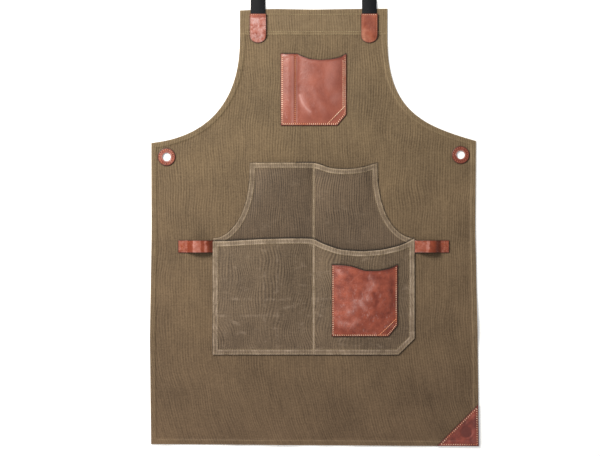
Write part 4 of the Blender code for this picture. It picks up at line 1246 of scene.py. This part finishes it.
# %% Neck strap
strap = place_object("neck_strap_webbing", NODES["neck_strap"].data.copy())
only(strap)
bpy.ops.object.mode_set(mode="EDIT")
bpy.ops.mesh.select_all(action="SELECT")
bpy.ops.mesh.remove_doubles(threshold=1e-6)
bpy.ops.mesh.tris_convert_to_quads()
bpy.ops.object.mode_set(mode="OBJECT")
round_edges(strap, 0.45)
finish_piece(strap, "neck_strap", WEBBING)
print("faces of the strap:", len(strap.data.polygons))

# %% [markdown]
# ## Stitches
#
# A lockstitch shows as a row of short raised dashes. One dash is a small ball with few faces, laid with its poles
# along the thread, and each copy is stretched to its length and width. Every row is a line on a sheet, mostly a
# ring at some depth inside its border, and the dash is set along it at a fixed pitch. Its height is found by
# looking down on the finished piece, so it lies on the cloth wherever that rises or falls. Along the edges of the
# leather pockets the thread is thick and runs almost straight over the edge, so each stitch is turned across its
# row. The washers are whipped on, with a longer stitch across their ring.

# %% One stitch
bpy.ops.object.select_all(action="DESELECT")
bpy.ops.mesh.primitive_uv_sphere_add(
    segments=6, ring_count=4, radius=0.5, location=(0, 0, 0), rotation=(0, math.pi / 2, 0)
)
dash = bpy.context.object
bpy.ops.object.transform_apply(rotation=True)
DASH_POINTS = np.array([v.co for v in dash.data.vertices])
DASH_FACES = [tuple(p.vertices) for p in dash.data.polygons]
bpy.data.objects.remove(dash)
print("points in a stitch:", len(DASH_POINTS), "faces:", len(DASH_FACES))

Stitch = namedtuple("Stitch", "pitch length width slant")
POCKET_STITCH = Stitch(4.0, 3.9, 1.5, 74)
LINE_STITCH = Stitch(4.0, 4.0, 1.6, 4)
FINE_STITCH = Stitch(3.8, 2.6, 0.9, 12)
CANVAS_STITCH = Stitch(3.6, 2.7, 0.75, 0)
WHIP_STITCH = Stitch(4.4, 3.4, 0.9, 78)


# %% Rows of stitches
def stitch_frames(line, stitch, tree):
    """The middle and the half length of each stitch along a line, laid on the piece in a search tree."""
    total = lengths_along(line)[-1]
    count = max(1, int(total / (stitch.pitch * MM)))
    at = (np.arange(count) + 0.5) * total / count
    half = 0.5 * stitch.length * MM
    ahead, behind = at_lengths(line, at + half), at_lengths(line, at - half)
    middle, arm = (ahead + behind) / 2, (ahead - behind) / 2
    cos, sin = math.cos(math.radians(stitch.slant)), math.sin(math.radians(stitch.slant))
    x, y = arm[:, 0], arm[:, 1]
    arm = np.stack([x * cos - y * sin, x * sin + y * cos], axis=1)
    for point, reach in zip(middle, arm):
        ends = [tree.ray_cast(Vector((*(point + k * reach), 0.1)), Vector((0, 0, -1)))[0] for k in (-1, 1)]
        if all(ends):
            yield (ends[0] + ends[1]) / 2, (ends[1] - ends[0]) / 2


def sew(name, rows, stitch, on, material):
    """Joins the stitches of several rows into one piece that lies on another."""
    depsgraph = bpy.context.evaluated_depsgraph_get()
    tree = BVHTree.FromObject(on, depsgraph)
    radius = 0.5 * stitch.width * MM
    points, faces = [], []
    for line in rows:
        for middle, reach in stitch_frames(line, stitch, tree):
            ahead = reach.normalized()
            side = Vector((0, 0, 1)).cross(ahead).normalized()
            up = ahead.cross(side)
            axes = np.array([ahead * (reach.length * 2), side * radius * 2, up * radius * 1.7])
            first = len(points) * len(DASH_POINTS)
            points.append(DASH_POINTS @ axes + np.array(middle + up * radius * 0.35))
            faces += [tuple(first + i for i in face) for face in DASH_FACES]
    mesh = bpy.data.meshes.new(name)
    mesh.from_pydata(np.vstack(points).tolist(), [], faces)
    piece = place_object(name, mesh)
    only(piece)
    bpy.ops.object.shade_smooth()
    finish_piece(piece, None, material)
    print(name, "stitches:", len(points))
    return piece


def border_row(sheet, depth, first, last):
    """A row at a depth inside the border, from one of its corners to another: 0 is the lower left, 1 the lower
    right, 2 the upper right and 3 the upper left."""
    border = sheet.border
    corners = (0, border.across, border.across + border.up, 2 * border.across + border.up)
    return ring(border, depth * MM)[around(corners[first], corners[last], len(border.points))]


def part_of(line, start, end):
    """The part of a line between two distances from its start, in millimetres. An end of zero or less counts back
    from the line's own end."""
    total = lengths_along(line)[-1]
    stop = total + end * MM if end <= 0 else end * MM
    return at_lengths(line, np.linspace(start * MM, stop, max(2, int((stop - start * MM) / (2 * MM)))))


def straight_row(start, end):
    """A row from one place to another, in metres."""
    return np.linspace(start, end, 40)


def upright_row(x, low, high, margin):
    """A row straight up through x, between two corners and a margin in millimetres from both."""
    return straight_row((x, low.y + margin * MM), (x, high.y - margin * MM))


# %% Stitches on the leather
def cut_corner_row(node, high, across):
    """The slanting row above a pocket's cut corner: its ends' height on the right side and place on the bottom."""
    low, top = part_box(node)
    return straight_row((top.x - 2 * MM, low.y + high * MM), (low.x + across * MM, low.y + 3 * MM))


chest_low, chest_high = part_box("chest_pocket")
pen_x = chest_low.x + PEN_SLOT * MM
pen_row = straight_row((pen_x, chest_low.y + 3 * MM), (pen_x, chest_high.y - 2 * MM))
patch_rows = [border_row(patch, 3.0, first, last) for first, last in ((0, 1), (1, 2), (2, 0))]
for name, sheet, rows, stitch, thread_material in (
    ("chest_pocket_stitches", chest, [border_row(chest, 2.7, 3, 1)], POCKET_STITCH._replace(length=4.4),
     LEATHER_THREAD),
    ("chest_right_stitches", chest, [part_of(border_row(chest, depth, 1, 2), 30, -1) for depth in (2.4, 6.4)],
     LINE_STITCH._replace(width=1.1), LEATHER_THREAD),
    ("chest_corner_stitches", chest, [part_of(border_row(chest, 2.7, 1, 2), 0, 30)], POCKET_STITCH, LEATHER_THREAD),
    ("chest_line_stitches", chest, [cut_corner_row("chest_pocket", 39, 93)], LINE_STITCH, LEATHER_THREAD),
    ("pen_slot_stitches", chest, [pen_row], POCKET_STITCH._replace(length=3.0, slant=58), SEAM_THREAD),
    ("phone_pocket_stitches", phone, [border_row(phone, 2.3, 3, 2)],
     POCKET_STITCH._replace(length=3.0, pitch=3.7), LEATHER_THREAD),
    ("phone_line_stitches", phone, [cut_corner_row("phone_pocket", 35, 95)], LINE_STITCH, LEATHER_THREAD),
    ("corner_patch_stitches", patch, patch_rows, POCKET_STITCH._replace(slant=62, length=3.0, pitch=4.3),
     LEATHER_THREAD),
    ("left_tab_stitches", left_tab, [border_row(left_tab, 2.0, 2, 3)], FINE_STITCH, LEATHER_THREAD),
    ("left_tab_side_stitches", left_tab, [border_row(left_tab, 2.0, 3, 2)], FINE_STITCH, DARK_THREAD),
    ("right_tab_stitches", right_tab, [border_row(right_tab, 2.0, 2, 3)], FINE_STITCH, LEATHER_THREAD),
    ("right_tab_side_stitches", right_tab, [border_row(right_tab, 2.0, 3, 2)], FINE_STITCH, DARK_THREAD),
):
    sew(name, rows, stitch, sheet.piece, thread_material)

# %% Stitches on the washers and the loops
WASHER_ROW = 14.3
LOOP_ROWS = (2.6, 9.0)

for washer, side, thread_material in ((left_washer, "left", SEAM_THREAD), (right_washer, "right", DARK_THREAD)):
    centre = washer_centre(f"{side}_eyelet")
    circle = [centre + WASHER_ROW * MM * np.array([math.cos(a), math.sin(a)]) for a in np.linspace(0, math.tau, 60)]
    sew(f"{side}_washer_stitches", [np.array(circle)], WHIP_STITCH, washer, thread_material)
for loop, side in ((left_loop, "left"), (right_loop, "right")):
    low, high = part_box(f"{side}_side_loop")
    outer, inward = (low.x, 1) if side == "left" else (high.x, -1)
    ends = [upright_row(outer + inward * place * MM, low, high, 3) for place in LOOP_ROWS]
    sew(f"{side}_loop_stitches", ends, FINE_STITCH, loop.piece, DARK_THREAD)

# %% Stitches on the canvas
BAND_SPAN = (-0.138, 0.135)
BAND_ROWS = (TOP_BAND - 3.6, TOP_BAND + 1.6)
HEM_ROW, OUTER_HEM_ROW, TOP_ROW = 8.3, 3.8, 10.5
POUCH_HEM_ROWS = (2.4, 9.8)
MIDDLE_ROWS = (-1.6, 1.6)

rows = [part_of(border_row(body, TOP_ROW, 2, 3), 8, -8)]
for depth in BAND_ROWS:
    rows.append(straight_row(*((x, top_line - depth * MM) for x in BAND_SPAN)))
sew("body_stitches", rows, CANVAS_STITCH._replace(length=3.1, width=1.3), body.piece, CANVAS_THREAD)

rows = [border_row(body, HEM_ROW, 0, 1)]
for first, last in ((1, 2), (3, 0)):
    rows.append(border_row(body, HEM_ROW, first, last))
    rows.append(part_of(border_row(body, OUTER_HEM_ROW, first, last), 0, -1))
sew("body_hem_stitches", rows, CANVAS_STITCH, body.piece, BODY_THREAD)

for pouch, node in ((lower, "lower_pouch"), (upper, "upper_pouch")):
    low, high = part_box(node)
    rows = [
        border_row(pouch, depth, first, last)
        for depth in POUCH_HEM_ROWS for first, last in ((0, 1), (1, 2), (2, 3), (3, 0))
    ]
    rows += [upright_row((low.x + high.x) / 2 + place * MM, low, high, 4) for place in MIDDLE_ROWS]
    sew(f"{node}_stitches", rows, CANVAS_STITCH, pouch.piece, CANVAS_THREAD)

# %% [markdown]
# ## Floor
#
# White paper under the apron, far larger than the view. It has a faint tooth, and it glows a little, as paper
# does on a light table, so that it stays white away from the window.


# %% Floor
def white_paper(name):
    """Matt white paper."""
    material, tree = new_material(name)
    place = add(tree, "TexCoord", "Object")
    tooth = add(tree, "TexNoise", "Fac", {"Vector": place, "Scale": per_mm(4), "Detail": 3.0})
    colour = add(
        tree, "Mix", MIX_RESULT, {MIX_AMOUNT: tooth, MIX_FIRST: linear("F8F7F5"), MIX_SECOND: linear("FCFCFB")},
        data_type="RGBA",
    )
    shader = add(
        tree, "BsdfPrincipled", 0,
        {"Base Color": colour, "Roughness": 0.9, "Specular IOR Level": 0.1,
         "Emission Color": (1.0, 1.0, 1.0, 1.0), "Emission Strength": 0.28},
    )
    add(tree, "OutputMaterial", sockets={"Surface": shader})
    return material


bpy.ops.object.select_all(action="DESELECT")
bpy.ops.mesh.primitive_plane_add(size=12, location=(0, 0, -0.2 * MM))
floor = bpy.context.object
floor.name = "paper_floor"
floor.data.materials.append(white_paper("white_paper"))

# %% [markdown]
# ## Sizes
#
# Each free sheet is listed with the size that it was cut to, which is its size here plus its turned hems, and
# that size is printed.

# %% Sheets
SHEETS = (
    (body, (0.677, 0.934), 0.515, ["paper_floor"]),
    (upper, (0.426, 0.407), 0.152, ["body_canvas"]),
    (lower, (0.426, 0.255), 0.1045, ["upper_pouch_canvas"]),
    (chest, (0.1305, 0.1425), None, ["body_canvas"]),
    (phone, (0.1305, 0.1425), None, ["lower_pouch_canvas"]),
)
for sheet, flat, area, under in SHEETS:
    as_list(under)
    print(sheet.piece.name, "cut to", flat)
